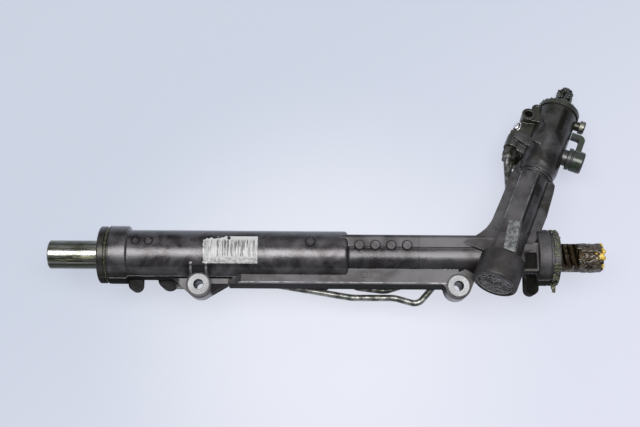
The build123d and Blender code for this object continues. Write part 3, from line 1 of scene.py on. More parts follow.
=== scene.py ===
"""Steering rack: finishes, label, plate, casting marks and grease round the fixed frame."""
import json
import math
import random

import bpy
from mathutils import Euler, Matrix, Vector


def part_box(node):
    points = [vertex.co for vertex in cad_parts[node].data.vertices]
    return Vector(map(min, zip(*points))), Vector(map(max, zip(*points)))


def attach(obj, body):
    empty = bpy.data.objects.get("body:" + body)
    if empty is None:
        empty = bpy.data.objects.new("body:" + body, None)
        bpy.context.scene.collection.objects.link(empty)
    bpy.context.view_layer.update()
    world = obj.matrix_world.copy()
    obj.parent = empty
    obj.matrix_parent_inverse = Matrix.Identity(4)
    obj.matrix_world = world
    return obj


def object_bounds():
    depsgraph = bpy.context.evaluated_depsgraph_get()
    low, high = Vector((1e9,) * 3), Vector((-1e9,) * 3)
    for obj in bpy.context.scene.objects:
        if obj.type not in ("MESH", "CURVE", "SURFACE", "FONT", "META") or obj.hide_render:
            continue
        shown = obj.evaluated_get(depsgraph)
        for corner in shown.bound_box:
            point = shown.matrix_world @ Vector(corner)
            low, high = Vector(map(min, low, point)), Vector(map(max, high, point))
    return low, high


bl_info = {
    "name": "Steering Rack Finish",
    "version": (1, 0, 0),
    "blender": (4, 5, 0),
    "location": "3D View > Sidebar > Steering Rack",
    "description": "Finishes, label, plate, casting stamps and grease for a hydraulic steering rack",
    "category": "Object",
}

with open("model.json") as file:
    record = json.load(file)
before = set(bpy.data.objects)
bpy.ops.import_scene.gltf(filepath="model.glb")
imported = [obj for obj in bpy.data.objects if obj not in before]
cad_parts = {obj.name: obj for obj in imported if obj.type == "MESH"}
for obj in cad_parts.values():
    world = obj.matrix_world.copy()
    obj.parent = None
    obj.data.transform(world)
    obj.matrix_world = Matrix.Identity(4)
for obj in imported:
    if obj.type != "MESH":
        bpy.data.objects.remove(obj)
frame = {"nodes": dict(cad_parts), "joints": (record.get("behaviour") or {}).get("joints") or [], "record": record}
CAD_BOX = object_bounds()

MM = 0.001
JOINTS = {joint["name"]: joint for joint in frame["joints"]}
MOUNTS = {mount["name"]: mount for mount in frame["record"]["mounts"]}

# ---- Places worked out from the frame ---------------------------------------------------------
RACK_AXIS = Vector((0, *MOUNTS["rack_end_left"]["pos_m"][1:]))
TOWER_ORIGIN = Vector(JOINTS["pinion_spin"]["pos_m"])
TOWER_DIR = Vector(JOINTS["pinion_spin"]["axis"]).normalized()
LIFT_DIR = -Vector(JOINTS["yoke_float"]["axis"]).normalized()
SIDE_DIR = TOWER_DIR.cross(LIFT_DIR)
EYE_X = MOUNTS["mounting_holes"]["dims"]["spacing_x_mm"] * MM / 2
BAR_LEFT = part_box("rack_bar")[0].x
BAR_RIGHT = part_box("rack_bar")[1].x
BAR_R = (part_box("rack_bar")[1].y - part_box("rack_bar")[0].y) / 2
HOUSING_END = -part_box("housing")[0].x
LEFT_LIP_R = MOUNTS["boot_seat_left"]["dims"]["r_mm"] * MM
RIGHT_LIP_R = MOUNTS["boot_seat_right"]["dims"]["r_mm"] * MM
EYE_TOP = 36 * MM
EYE_FACE_R = 11.25 * MM
TUBE_R = 26.8 * MM
SPINE_LIFT = 18.3 * MM
BARREL_R = 22 * MM
RECESS_R = 24.5 * MM
GROOVE_DEPTH = 1.7 * MM
GROOVE_X = 234.5 * MM
SHAFT_R = 8.6 * MM
# Angles round the rack where the painted shade on the undersides begins, on the tubes and on the collars
SHADE_EDGE_TUBE = math.radians(-66)
SHADE_EDGE_COLLAR = math.radians(-62.5)
MARK_R = 4.75 * MM
MARK_Y = 42 * MM
MARKS_X = (32.2 * MM, 48.9 * MM, 65.6 * MM, 82.3 * MM)
STAMP_Y = 44.8 * MM
STAMPS = (("stamp_outer", -202.9 * MM, 1.0), ("stamp_inner", -189.5 * MM, 1.0),
          ("ejector_ring", -19.5 * MM, 1.2))  # name, place along the rack, scale

# Stations along the tower, from where its axis passes the rack
RECESS_RIM_S = -43.7 * MM
RECESS_FLOOR_S = -40.0 * MM
PLATE_S = 8.2 * MM
PLATE_SIDE = -0.5 * MM
PLATE_TURN = math.radians(8)
TOWER_TOP_S = 191.5 * MM
SHAFT_GREASE_S = 199.7 * MM
SHAFT_END_S = 222 * MM

# Stretch of a ball of grease that stays round
ROUND = (1, 1, 1)

# How far along the bar the pinion and the yoke come at full travel
PINION_REACH = 266 * MM
YOKE_REACH = 271 * MM

# Bands on the casting in millimetres: where one starts, is full, is last full and ends
HOLLOW_X = (19.3, 24.3, 165, 180)
HOLLOW_Y = (15, 18, 39, 40.5)
POCKET_X = (204, 206, 217.6, 219)
POCKET_Y = (17, 19, 34, 36)
RIB_Y = (10, 12, 18, 21)
NECK_STATION = (22, 34, 90, 94)
STAIN_STATION = (146, 152, 182, 188)
STAIN_SIDE = (3, 5, 9, 12)

# Lines on the casting in millimetres
SPINE_GROOVES = ((-16.4, -14.3), (4.8, 2.7))  # each groove's middle and the spine's edge beside it
FLANGE_EDGE_Y = 2.7
RIB_OFFSET = 8.05
SEAM_X = 94.5
TUBE_MIDDLE_X = -112

# Stage
FLOOR_SIZE = 40
FLOOR_GAP = 0.5 * MM
KEY_PLACE, KEY_SIZE = (0, 0.12, 1.4), (1.5, 0.68)
FILL_PLACE, FILL_SIZE = (0.1, 1.3, 0.9), (2.0, 0.8)
LIGHTS_AIM = Vector((0, 0.06, 0.02))
CAMERA_AIM = Vector((-9.55, 80, 19)) * MM


def tower_point(s, side=0.0, lift=0.0):
    """Point s along the tower, side to its right and lifted from its axis."""
    return TOWER_ORIGIN + TOWER_DIR * s + SIDE_DIR * side + LIFT_DIR * lift


def round_tower(s, radius, angle):
    """Point on a circle round the tower, its angle taken from the lift towards the side."""
    return tower_point(s, radius * math.sin(angle), radius * math.cos(angle))


def round_rack(x, radius, angle):
    """Point on a circle round the rack, its angle taken from straight up towards +Y."""
    return RACK_AXIS + Vector((x, radius * math.sin(angle), radius * math.cos(angle)))


# ---- Settings ---------------------------------------------------------------------------------
class RackColours(bpy.types.PropertyGroup):
    """Colours of the rack's finishes"""
    casting: bpy.props.FloatVectorProperty(
        name="Casting", description="Dark skin of the cast housing",
        subtype="COLOR", size=3, min=0, max=1, default=(0.094, 0.089, 0.094))
    casting_dark: bpy.props.FloatVectorProperty(
        name="Casting, oily", description="Housing where oil and dirt have settled",
        subtype="COLOR", size=3, min=0, max=1, default=(0.024, 0.021, 0.021))
    machined: bpy.props.FloatVectorProperty(
        name="Machined face", description="Cut faces of the bolt eyes and bores",
        subtype="COLOR", size=3, min=0, max=1, default=(0.34, 0.34, 0.35))
    bar: bpy.props.FloatVectorProperty(
        name="Rack bar", description="Ground steel of the rack bar",
        subtype="COLOR", size=3, min=0, max=1, default=(0.37, 0.38, 0.35))
    grease_green: bpy.props.FloatVectorProperty(
        name="Green grease", description="Yellow-green grease on the bar and collars",
        subtype="COLOR", size=3, min=0, max=1, default=(0.05, 0.055, 0.018))
    grease_brown: bpy.props.FloatVectorProperty(
        name="Brown grease", description="Old grease on the right end of the bar",
        subtype="COLOR", size=3, min=0, max=1, default=(0.032, 0.022, 0.011))
    grease_yellow: bpy.props.FloatVectorProperty(
        name="Yellow grease", description="Fresh lumps at the bar's right tip",
        subtype="COLOR", size=3, min=0, max=1, default=(0.42, 0.27, 0.02))
    label: bpy.props.FloatVectorProperty(
        name="Label", description="Worn white paper of the bare label",
        subtype="COLOR", size=3, min=0, max=1, default=(0.42, 0.42, 0.41))


class RackSizes(bpy.types.PropertyGroup):
    """Sizes of the pieces added to the frame"""
    label_left: bpy.props.FloatProperty(
        name="Label, left edge", description="Left edge of the label along the rack",
        unit="LENGTH", default=-132.0 * MM)
    label_right: bpy.props.FloatProperty(
        name="Label, right edge", description="Right edge of the label along the rack",
        unit="LENGTH", default=-74.7 * MM)
    label_low_y: bpy.props.FloatProperty(
        name="Label, lower edge", description="Edge of the label on the bolt side",
        unit="LENGTH", default=21.0 * MM)
    label_high_y: bpy.props.FloatProperty(
        name="Label, upper edge", description="Edge of the label on the tower's side",
        unit="LENGTH", default=50.4 * MM)
    label_thickness: bpy.props.FloatProperty(
        name="Label thickness", description="Paper and glue of the label",
        unit="LENGTH", default=0.18 * MM)
    plate_length: bpy.props.FloatProperty(
        name="Plate length", description="Length of the metal plate on the tower",
        unit="LENGTH", default=37 * MM)
    plate_width: bpy.props.FloatProperty(
        name="Plate width", description="Width of the metal plate on the tower",
        unit="LENGTH", default=12.5 * MM)
    plate_thickness: bpy.props.FloatProperty(
        name="Plate thickness", description="Thickness of the metal plate",
        unit="LENGTH", default=0.5 * MM)
    stamp_r: bpy.props.FloatProperty(
        name="Stamp radius", description="Radius of the round casting stamps",
        unit="LENGTH", default=4 * MM)


class RackStage(bpy.types.PropertyGroup):
    """Floor, light and camera"""
    floor_far: bpy.props.FloatVectorProperty(
        name="Floor, upper left", description="Plain pale floor on the tower's side",
        subtype="COLOR", size=3, min=0, max=1, default=(0.575, 0.62, 0.72))
    floor_near: bpy.props.FloatVectorProperty(
        name="Floor, lower right", description="Plain pale floor on the bolts' side",
        subtype="COLOR", size=3, min=0, max=1, default=(0.72, 0.735, 0.845))
    floor_glow: bpy.props.FloatProperty(
        name="Floor evenness", description="How much of the floor shows evenly lit, free of shadow",
        min=0, max=1, default=0.85)
    key_power: bpy.props.FloatProperty(
        name="Key light", description="Power of the soft light overhead",
        unit="POWER", default=31.0)
    fill_power: bpy.props.FloatProperty(
        name="Fill light", description="Power of the wide light on the tower's side",
        unit="POWER", default=3.6)
    world_strength: bpy.props.FloatProperty(
        name="Room light", description="Strength of the room's even light", default=0.22)
    camera_distance: bpy.props.FloatProperty(
        name="Camera distance", description="Camera from the point it looks at",
        unit="LENGTH", default=1.1)
    camera_elevation: bpy.props.FloatProperty(
        name="Camera elevation", description="Camera above the horizon",
        subtype="ANGLE", default=math.radians(78))
    camera_roll: bpy.props.FloatProperty(
        name="Camera roll", description="Turn of the view, clockwise",
        subtype="ANGLE", default=math.radians(0.4))
    camera_lens: bpy.props.FloatProperty(
        name="Lens", description="Focal length", unit="CAMERA", default=57.3)


# ---- Shader nodes -----------------------------------------------------------------------------
class Finish:
    """One material's node tree, built link by link."""

    def __init__(self, name, **sockets):
        self.material = bpy.data.materials.new(name)
        self.material.use_nodes = True
        self.tree = self.material.node_tree
        self.shader = self.tree.nodes["Principled BSDF"]
        for socket, value in sockets.items():
            self.set(socket.replace("_", " "), value)
        self.place = self.tree.nodes.new("ShaderNodeTexCoord").outputs["Object"]

    def set(self, socket, value):
        """Set or link one socket of the shader."""
        target = self.shader.inputs[socket]
        if isinstance(value, bpy.types.NodeSocket):
            self.tree.links.new(value, target)
        elif hasattr(value, "__len__") and len(value) == 3 and target.type == "RGBA":
            target.default_value = (*value, 1)
        else:
            target.default_value = value

    def add(self, kind, inputs=(), **settings):
        """Add a node, with its settings and its inputs by number or name."""
        made = self.tree.nodes.new(kind)
        for name, value in settings.items():
            setattr(made, name, value)
        for key, value in dict(inputs).items():
            if isinstance(value, bpy.types.NodeSocket):
                self.tree.links.new(value, made.inputs[key])
            elif hasattr(value, "__len__") and made.inputs[key].type == "RGBA":
                made.inputs[key].default_value = (*value, 1)
            else:
                made.inputs[key].default_value = value
        return made

    def math(self, operation, first, second=0.0, clamp=False):
        """One sum of two values."""
        return self.add("ShaderNodeMath", {0: first, 1: second}, operation=operation,
                        use_clamp=clamp).outputs[0]

    def noise(self, scale, detail=4.0, rough=0.55, stretch=(1, 1, 1), warp=0.0, shift=(0, 0, 0)):
        """Noise in millimetre-sized cells: scale is the size of a cell in metres."""
        mapped = self.add("ShaderNodeMapping", {"Vector": self.place, "Scale": stretch,
                                                "Location": shift}).outputs[0]
        return self.add("ShaderNodeTexNoise", {
            "Vector": mapped, "Scale": 1 / scale, "Detail": detail, "Roughness": rough,
            "Distortion": warp}).outputs["Fac"]

    def cells(self, scale):
        """Distance from the middle of round cells of a size in metres."""
        made = self.add("ShaderNodeTexVoronoi", {"Vector": self.place, "Scale": 1 / scale})
        return made.outputs["Distance"]

    def step(self, value, low, high, start=0.0, end=1.0):
        """Smooth step from start, where value is low, to end, where it is high."""
        return self.add("ShaderNodeMapRange", {
            "Value": value, "From Min": low, "From Max": high, "To Min": start, "To Max": end},
            interpolation_type="SMOOTHSTEP").outputs["Result"]

    def past(self, distance, start, full):
        """Smooth step from 0 to 1 along a distance, its ends in millimetres."""
        return self.step(distance, start * MM, full * MM)

    def band(self, distance, start, full, last, end):
        """1 between full and last, 0 before start and after end, all in millimetres."""
        return self.all(self.past(distance, start, full), self.past(distance, end, last))

    def near(self, distance, place, outer, inner):
        """1 within the inner distance of a place, 0 beyond the outer one, all in millimetres."""
        away = self.math("ABSOLUTE", self.math("SUBTRACT", distance, place * MM))
        return self.past(away, outer, inner)

    def all(self, *masks):
        """Product of masks and shares: 1 only where each of them is 1."""
        product = masks[0]
        for mask in masks[1:]:
            product = self.math("MULTIPLY", product, mask)
        return product

    def length(self, first, second):
        """Length of a line from its two sides."""
        return self.math("SQRT", self.math("ADD", self.all(first, first), self.all(second, second)))

    def paint(self, colour, *masks):
        """Lay a colour over the base colour where all the masks meet."""
        self.colour = self.mix(self.all(*masks), self.colour, colour)

    def done(self, rough):
        """Link the base colour and the roughness, and give the material."""
        self.set("Base Color", self.colour)
        self.set("Roughness", rough)
        return self.material

    def mix(self, factor, first, second):
        """Colour between the first, at factor 0, and the second, at factor 1."""
        made = self.tree.nodes.new("ShaderNodeMix")
        made.data_type = "RGBA"
        made.clamp_factor = True
        for index, value in ((0, factor), (6, first), (7, second)):
            socket = made.inputs[index]
            if isinstance(value, bpy.types.NodeSocket):
                self.tree.links.new(value, socket)
            elif hasattr(value, "__len__"):
                socket.default_value = (*value[:3], 1)
            else:
                socket.default_value = value
        return made.outputs[2]

    def axis(self, index):
        """Place along X (0), Y (1) or Z (2)."""
        return self.add("ShaderNodeSeparateXYZ", {0: self.place}).outputs[index]

    def away_from(self, origin):
        """Place as seen from an origin."""
        made = self.add("ShaderNodeVectorMath", {0: self.place, 1: origin}, operation="SUBTRACT")
        return made.outputs[0]

    def along(self, origin, direction):
        """How far a point lies along a line."""
        return self.add("ShaderNodeVectorMath", {0: self.away_from(origin), 1: direction},
                        operation="DOT_PRODUCT").outputs["Value"]

    def off_axis(self, origin, direction):
        """How far a point lies from a line."""
        crossed = self.add("ShaderNodeVectorMath", {0: self.away_from(origin), 1: direction},
                           operation="CROSS_PRODUCT").outputs[0]
        return self.add("ShaderNodeVectorMath", {0: crossed}, operation="LENGTH").outputs["Value"]

    def rack_angle(self):
        """Angle round the rack, from straight up towards +Y."""
        return self.math("ARCTAN2", self.math("SUBTRACT", self.axis(1), RACK_AXIS.y),
                         self.math("SUBTRACT", self.axis(2), RACK_AXIS.z))

    def edges(self, radius):
        """1 on sharp outer and inner edges, 0 on open faces."""
        rounded = self.add("ShaderNodeBevel", {"Radius": radius}, samples=6).outputs[0]
        normal = self.add("ShaderNodeNewGeometry").outputs["Normal"]
        same = self.add("ShaderNodeVectorMath", {0: rounded, 1: normal}, operation="DOT_PRODUCT")
        return self.step(self.math("SUBTRACT", 1.0, same.outputs["Value"]), 0.02, 0.25)

    def bump(self, *layers, round_off=0.0):
        """Stack (height, strength, distance) layers over rounded edges into the shader's normal."""
        normal = None
        if round_off:
            normal = self.add("ShaderNodeBevel", {"Radius": round_off}, samples=6).outputs[0]
        for height, strength, distance in layers:
            inputs = {"Height": height, "Strength": strength, "Distance": distance}
            if normal:
                inputs["Normal"] = normal
            normal = self.add("ShaderNodeBump", inputs).outputs[0]
        self.set("Normal", normal)


def casting_finish(colours, stamp_r):
    """Dark die-cast aluminium, mottled and oily, with cut faces at the eyes and bores, and painted shade and
    highlights.
    """
    f = Finish("cast_aluminium_skin", Metallic=0.75)
    x, y, z = (f.axis(index) for index in range(3))
    mottle = f.noise(22 * MM, 6, 0.6, warp=0.4)
    cloud = f.noise(70 * MM, 3, 0.5, shift=(0.3, 0.1, 0))
    grain = f.noise(0.9 * MM, 2, 0.7)
    pits = f.cells(1.6 * MM)
    f.colour = f.mix(f.step(mottle, 0.35, 0.65), colours.casting_dark, colours.casting)
    f.paint((0.13, 0.125, 0.13), f.step(cloud, 0.4, 0.68, 0, 0.5))

    # Bright specks in patches in the hollow between the rail and the flange
    hollow = f.all(f.band(x, *HOLLOW_X), f.band(y, *HOLLOW_Y))
    specks = f.step(f.noise(1.9 * MM, 5, 0.75), 0.5, 0.66)
    patches = f.step(f.noise(16 * MM, 3, 0.6, shift=(0, 0.7, 0)), 0.42, 0.6)
    f.paint((0.22, 0.21, 0.22), hollow, specks, patches, 0.5)

    # Painted light: the flange's and the rail's flat faces are painted paler than the tubes, and the hollow is
    # darkened as painted shade
    flange = f.all(f.past(y, 18, 16.5), f.past(z, 20, 30))
    rail = f.all(f.past(z, 39.3, 40.3), f.past(x, 20.3, 21.3), f.past(y, 56, 55))
    flat = f.math("MAXIMUM", flange, rail)
    f.paint((0.12, 0.115, 0.12), flat, 0.1)
    # Painted shade over the whole hollow
    f.paint((0.04, 0.038, 0.04), hollow, 0.4)

    # Brown oil round the pinion, and darker green towards the bottom, in patches
    station = f.along(TOWER_ORIGIN, TOWER_DIR)
    off_tower = f.off_axis(TOWER_ORIGIN, TOWER_DIR)
    f.paint((0.036, 0.032, 0.03), f.past(off_tower, 48, 26), f.past(station, 12, -8),
            f.step(f.noise(14 * MM, 4), 0.35, 0.6, 0.35, 0.9))
    f.paint((0.03, 0.034, 0.02), f.past(z, 12, -2), f.step(mottle, 0.4, 0.6, 0.3, 0.8))

    # Stain that has run down the valve barrel
    side = f.along(TOWER_ORIGIN, SIDE_DIR)
    f.paint((0.008, 0.006, 0.005), f.band(station, *STAIN_STATION), f.band(side, *STAIN_SIDE),
            f.step(f.noise(7 * MM, 4, 0.65), 0.36, 0.46), 0.97)

    # Worn edges, brightened also as painted highlights where the edges catch the light
    f.paint((0.36, 0.35, 0.36), f.edges(0.8 * MM), f.step(f.noise(6 * MM, 4), 0.35, 0.6, 0.25, 1), 0.8)

    # Painted shade in the grooves beside the neck's spine, and painted highlights with wear along its edges
    front = f.all(f.band(station, *NECK_STATION), f.past(f.along(TOWER_ORIGIN, LIFT_DIR), 8, 10))
    wear_and_highlight = f.step(f.noise(8 * MM, 4, 0.6, shift=(0, 0, 0.3)), 0.35, 0.6, 0.1, 1)
    for groove, edge in SPINE_GROOVES:
        f.paint((0.012, 0.011, 0.011), f.near(side, groove, 1.8, 0.8), front, 0.85)
        f.paint((0.3, 0.29, 0.3), f.near(side, edge, 0.9, 0.4), wear_and_highlight, front, 0.6)

    # Painted shade in the square pocket and on the port lugs under the tube
    pocket = f.all(f.band(x, *POCKET_X), f.band(y, *POCKET_Y))
    f.paint((0.008, 0.008, 0.007), pocket, f.step(f.noise(3 * MM, 4), 0.3, 0.6, 0.8, 0.97))
    off_middle = f.math("ABSOLUTE", x)
    past_eyes = f.math("SUBTRACT", off_middle, EYE_X)
    lugs = f.all(f.past(y, 14, 9), f.past(z, 46, 44), f.past(past_eyes, 20, 24))
    f.paint((0.012, 0.012, 0.01), lugs, f.step(mottle, 0.3, 0.6, 0.9, 0.6))

    # Painted shade on the wall under the flange's edge, and a painted highlight along that edge, between the eyes
    inside = f.past(past_eyes, -11, -14)
    wall = f.all(f.past(y, 2.0, 1.5), f.past(z, 33.6, 33), inside)
    f.paint((0.014, 0.013, 0.013), wall, 0.8)
    f.paint((0.34, 0.33, 0.34), f.near(y, FLANGE_EDGE_Y, 1, 0.4), f.past(z, 32.6, 33), inside,
            f.step(f.noise(11 * MM, 4), 0.35, 0.55, 0.3, 0.9))

    # Painted shade low on the tubes and collars: nearly black below an edge angle, with a painted highlight line
    # just above it
    off_rack = f.off_axis(RACK_AXIS, (1, 0, 0))
    turned = f.math("ADD", f.rack_angle(), f.step(f.noise(12 * MM, 3), 0.2, 0.8, -0.02, 0.02))
    on_tube = f.all(f.past(off_rack, 27.4, 27.0), f.near(x, TUBE_MIDDLE_X, 132, 131))
    low_side = f.math("MAXIMUM", on_tube, f.past(off_middle, 210, 211))
    shade_edge_angle = f.step(off_rack, 27.5 * MM, 29 * MM, SHADE_EDGE_TUBE, SHADE_EDGE_COLLAR)
    below = f.all(low_side, f.step(f.math("SUBTRACT", turned, shade_edge_angle), 0.02, -0.02))
    f.paint((0.006, 0.0065, 0.005), below, 0.93)
    # Painted highlight line along the top of the painted shade
    line = f.math("ABSOLUTE", f.math("SUBTRACT", turned, f.math("ADD", shade_edge_angle, 0.03)))
    f.paint((0.4, 0.39, 0.4), f.step(line, 0.026, 0.012), low_side,
            f.step(f.noise(9 * MM, 4), 0.35, 0.5, 0.35, 1), 0.8)

    # Painted shade round the slotted marks and stamps, and the dark seam across the hollow
    on_top = f.past(z, 20, 22)
    rings = [(mark_x, MARK_Y, MARK_R) for mark_x in MARKS_X]
    rings += [(stamp_x, STAMP_Y, stamp_r * scale) for _, stamp_x, scale in STAMPS]
    for ring_x, ring_y, radius in rings:
        away = f.length(f.math("SUBTRACT", x, ring_x), f.math("SUBTRACT", y, ring_y))
        f.paint((0.006, 0.006, 0.006), f.near(away, radius / MM + 0.3, 0.9, 0.45), on_top, 0.92)
    f.paint((0.02, 0.019, 0.019), f.near(x, SEAM_X, 0.8, 0.3), f.past(y, 17, 19), 0.5)

    # Old oil on the right collar and on the left collar's outer end
    outside = f.past(off_rack, 27, 28)
    f.paint((0.03, 0.03, 0.024), f.past(x, 218, 221), outside, f.step(mottle, 0.35, 0.65, 0.55, 0.15))
    from_left_end = f.math("ADD", x, HOUSING_END)
    f.paint((0.02, 0.02, 0.014), f.past(from_left_end, 13, 10.5), outside,
            f.step(mottle, 0.35, 0.65, 0.85, 0.55))

    # Painted highlights on the edges of the two ribs above the left eye, with painted shade between them
    from_eye_x = f.math("ABSOLUTE", f.math("ADD", x, EYE_X))
    on_ribs = f.all(f.band(y, *RIB_Y), f.past(z, 22, 26))
    f.paint((0.015, 0.014, 0.014), f.past(from_eye_x, 16, 12), on_ribs, 0.75)
    f.paint((0.26, 0.25, 0.26), f.near(from_eye_x, RIB_OFFSET, 1.4, 0.8), on_ribs, 0.7)

    # Cut faces: bolt eyes, collar recesses and the lower bearing's bore
    eye_face = f.all(f.step(f.length(past_eyes, y), EYE_FACE_R + 0.1 * MM, EYE_FACE_R - 0.1 * MM),
                     f.step(z, EYE_TOP - 0.3 * MM, EYE_TOP - 0.1 * MM))
    recess = f.all(f.step(off_rack, RECESS_R + 0.4 * MM, RECESS_R + 0.1 * MM),
                   f.past(off_middle, 227, 227.5))
    low_bore = f.all(f.past(off_tower, 18.4, 18.1), f.past(station, -20, -20.5))
    cut = f.math("ADD", f.math("ADD", eye_face, recess, True), low_bore, True)
    granular = f.step(f.noise(0.8 * MM, 3, 0.8), 0.3, 0.7)
    f.paint(f.mix(granular, (0.13, 0.13, 0.13), colours.machined), cut)

    matt = f.math("MAXIMUM", f.math("MAXIMUM", below, lugs), f.math("MAXIMUM", wall, pocket))
    rough = f.math("ADD", f.step(mottle, 0.3, 0.7, 0.24, 0.37), f.math("MULTIPLY", flat, 0.26))
    rough = f.math("ADD", rough, f.math("MULTIPLY", matt, 0.6))
    rough = f.math("ADD", rough, f.step(grain, 0.3, 0.7, -0.04, 0.06), True)
    f.bump((mottle, 0.25, 0.5 * MM), (grain, 0.35, 0.12 * MM), (pits, 0.15, 0.15 * MM),
           round_off=0.9 * MM)
    return f.done(rough)


def steel_finish(name, colour, rough=0.28, dirt=(0.05, 0.045, 0.035), dirt_share=0.4):
    """Turned or ground steel with fine tool marks, and dirt in patches."""
    f = Finish(name, Metallic=1.0)
    marks = f.noise(0.5 * MM, 3, 0.6)
    film = f.noise(9 * MM, 5, 0.6, warp=0.3)
    f.colour = f.mix(f.step(marks, 0.3, 0.7, 0, 0.35), colour, [value * 0.6 for value in colour])
    f.paint(dirt, f.step(film, 0.62 - 0.3 * dirt_share, 0.72 - 0.2 * dirt_share, 0, 0.85))
    f.bump((marks, 0.2, 0.05 * MM), (film, 0.1, 0.2 * MM), round_off=0.25 * MM)
    return f.done(f.step(marks, 0.3, 0.7, rough - 0.06, rough + 0.12))


def bar_finish(colours):
    """Ground rack bar: bright, with grease smeared along both of its ends."""
    f = Finish("rack_bar_steel", Metallic=0.9)
    x = f.axis(0)
    lines = f.noise(0.7 * MM, 3, 0.6, stretch=(0.04, 1, 1))
    smear = f.noise(5 * MM, 5, 0.65, stretch=(0.22, 1, 1), warp=0.5)
    fleck = f.noise(2.4 * MM, 4, 0.7)
    f.colour = f.mix(f.step(lines, 0.35, 0.65), (0.13, 0.13, 0.115), colours.bar)

    # Green and pale grease on the left end, and painted shade on its upper side
    left = f.step(x, BAR_LEFT + 62 * MM, BAR_LEFT + 40 * MM)
    f.paint(colours.grease_green, left, f.step(smear, 0.46, 0.58), 0.75)
    pale = f.noise(6 * MM, 3, 0.6, stretch=(0.15, 1, 1), shift=(0, 0.4, 0))
    f.paint((0.75, 0.75, 0.42), left, f.step(pale, 0.6, 0.68), 0.8)
    turned = f.rack_angle()
    # Painted shade: the upper side of the left end darker
    f.paint((0.06, 0.062, 0.05), f.step(turned, math.radians(6), math.radians(14)), left, 0.6)

    # Painted shade along the underside, olive and higher on the left end, and a painted reflection line above it
    edge = f.step(x, 0, 1 * MM, math.radians(-48), math.radians(-61))
    f.paint((0.02, 0.022, 0.009), f.step(f.math("SUBTRACT", turned, edge), 0.02, -0.02), 0.9)
    line = f.math("ABSOLUTE", f.math("SUBTRACT", turned, f.math("ADD", edge, 0.05)))
    f.paint((0.6, 0.6, 0.52), f.step(line, 0.06, 0.03), 0.75)

    # Old brown grease on the right end
    brown = f.all(f.step(x, BAR_RIGHT - 62 * MM, BAR_RIGHT - 46 * MM),
                  f.step(f.noise(4 * MM, 5, 0.7), 0.3, 0.45))
    f.paint(f.mix(f.step(fleck, 0.62, 0.7, 0, 0.6), colours.grease_brown, (0.12, 0.1, 0.03)), brown)
    f.bump((smear, 0.3, 0.3 * MM), (lines, 0.1, 0.05 * MM), (f.all(fleck, brown), 0.8, 0.8 * MM),
           round_off=0.4 * MM)
    return f.done(f.math("ADD", f.step(lines, 0.3, 0.7, 0.16, 0.3), f.math("MULTIPLY", brown, 0.15)))


def grease_finish(name, base, light, share=0.5):
    """Thick grease: two colours in clots, wet on top."""
    f = Finish(name, Coat_Weight=0.35, Coat_Roughness=0.12, Subsurface_Weight=0.08)
    f.shader.inputs["Subsurface Radius"].default_value = (1 * MM, 0.8 * MM, 0.3 * MM)
    clots = f.noise(3 * MM, 5, 0.65, warp=0.6)
    fine = f.noise(0.9 * MM, 4, 0.7)
    f.colour = f.mix(f.step(clots, 0.62 - 0.3 * share, 0.7 - 0.2 * share), base, light)
    f.paint([value * 0.3 for value in base], f.step(fine, 0.62, 0.75, 0, 0.6))
    f.bump((clots, 0.6, 0.5 * MM), (fine, 0.5, 0.2 * MM))
    return f.done(f.step(fine, 0.3, 0.7, 0.28, 0.5))


def soft_finish(name, colour, rough=0.55, film=(0.03, 0.035, 0.02), film_share=0.5):
    """Rubber or dull plastic with an oily film."""
    f = Finish(name)
    patches = f.noise(8 * MM, 4, 0.6)
    fine = f.noise(0.8 * MM, 3, 0.7)
    f.colour = f.mix(f.step(patches, 0.6 - 0.2 * film_share, 0.72 - 0.2 * film_share), colour, film)
    f.bump((fine, 0.3, 0.1 * MM), (patches, 0.2, 0.4 * MM), round_off=0.4 * MM)
    return f.done(f.step(patches, 0.35, 0.65, rough, rough - 0.28))


def pipe_finish():
    """Black coating on steel pipe, rubbed through where it has been handled."""
    f = Finish("pipe_coating", Metallic=0.6)
    rub = f.noise(9 * MM, 4, 0.6, shift=(0.2, 0, 0))
    fine = f.noise(1.2 * MM, 4, 0.7)
    f.colour = (0.06, 0.062, 0.06)
    f.paint((0.34, 0.34, 0.31), f.step(rub, 0.42, 0.6), f.step(fine, 0.35, 0.6, 0.3, 1))
    f.paint((0.03, 0.04, 0.02), f.step(f.noise(18 * MM, 3, 0.5, shift=(0, 0.5, 0)), 0.5, 0.65), 0.5)
    f.bump((rub, 0.2, 0.3 * MM), (fine, 0.3, 0.08 * MM))
    return f.done(f.step(rub, 0.3, 0.7, 0.42, 0.28))


def label_finish(colours):
    """Worn white paper: scuffed in upright streaks, darker in patches along its lower edge."""
    f = Finish("label_paper")
    y = f.axis(1)
    streaks = f.noise(1.5 * MM, 4, 0.8, stretch=(1, 0.05, 0.05))
    broad = f.noise(9 * MM, 3, 0.6, stretch=(1, 0.15, 0.15), shift=(0.37, 0, 0))
    scuff = f.noise(3 * MM, 5, 0.7)
    f.colour = colours.label
    f.paint((0.045, 0.044, 0.042), f.step(streaks, 0.47, 0.57), f.step(broad, 0.36, 0.56, 0.35, 0.95),
            f.band(y, 26, 30, 44, 48))
    f.paint((0.1, 0.095, 0.09), f.past(y, 31, 24), f.step(scuff, 0.42, 0.6), 0.7)
    f.paint((0.22, 0.215, 0.2), f.step(scuff, 0.62, 0.72, 0, 0.6))
    f.bump((scuff, 0.3, 0.15 * MM))
    return f.done(0.45)


def plate_finish():
    """Bare stamped plate with specks of dirt and oil."""
    f = Finish("plate_metal", Metallic=1.0)
    specks = f.cells(2.6 * MM)
    film = f.noise(5 * MM, 5, 0.7)
    f.colour = f.mix(f.step(film, 0.36, 0.6, 0, 0.8), (0.32, 0.33, 0.34), (0.07, 0.07, 0.065))
    f.paint((0.015, 0.014, 0.012), f.step(specks, 0.3, 0.2), f.step(film, 0.48, 0.56))
    f.bump((film, 0.3, 0.1 * MM), (specks, 0.2, 0.1 * MM), round_off=0.3 * MM)
    return f.done(f.step(film, 0.3, 0.7, 0.3, 0.5))


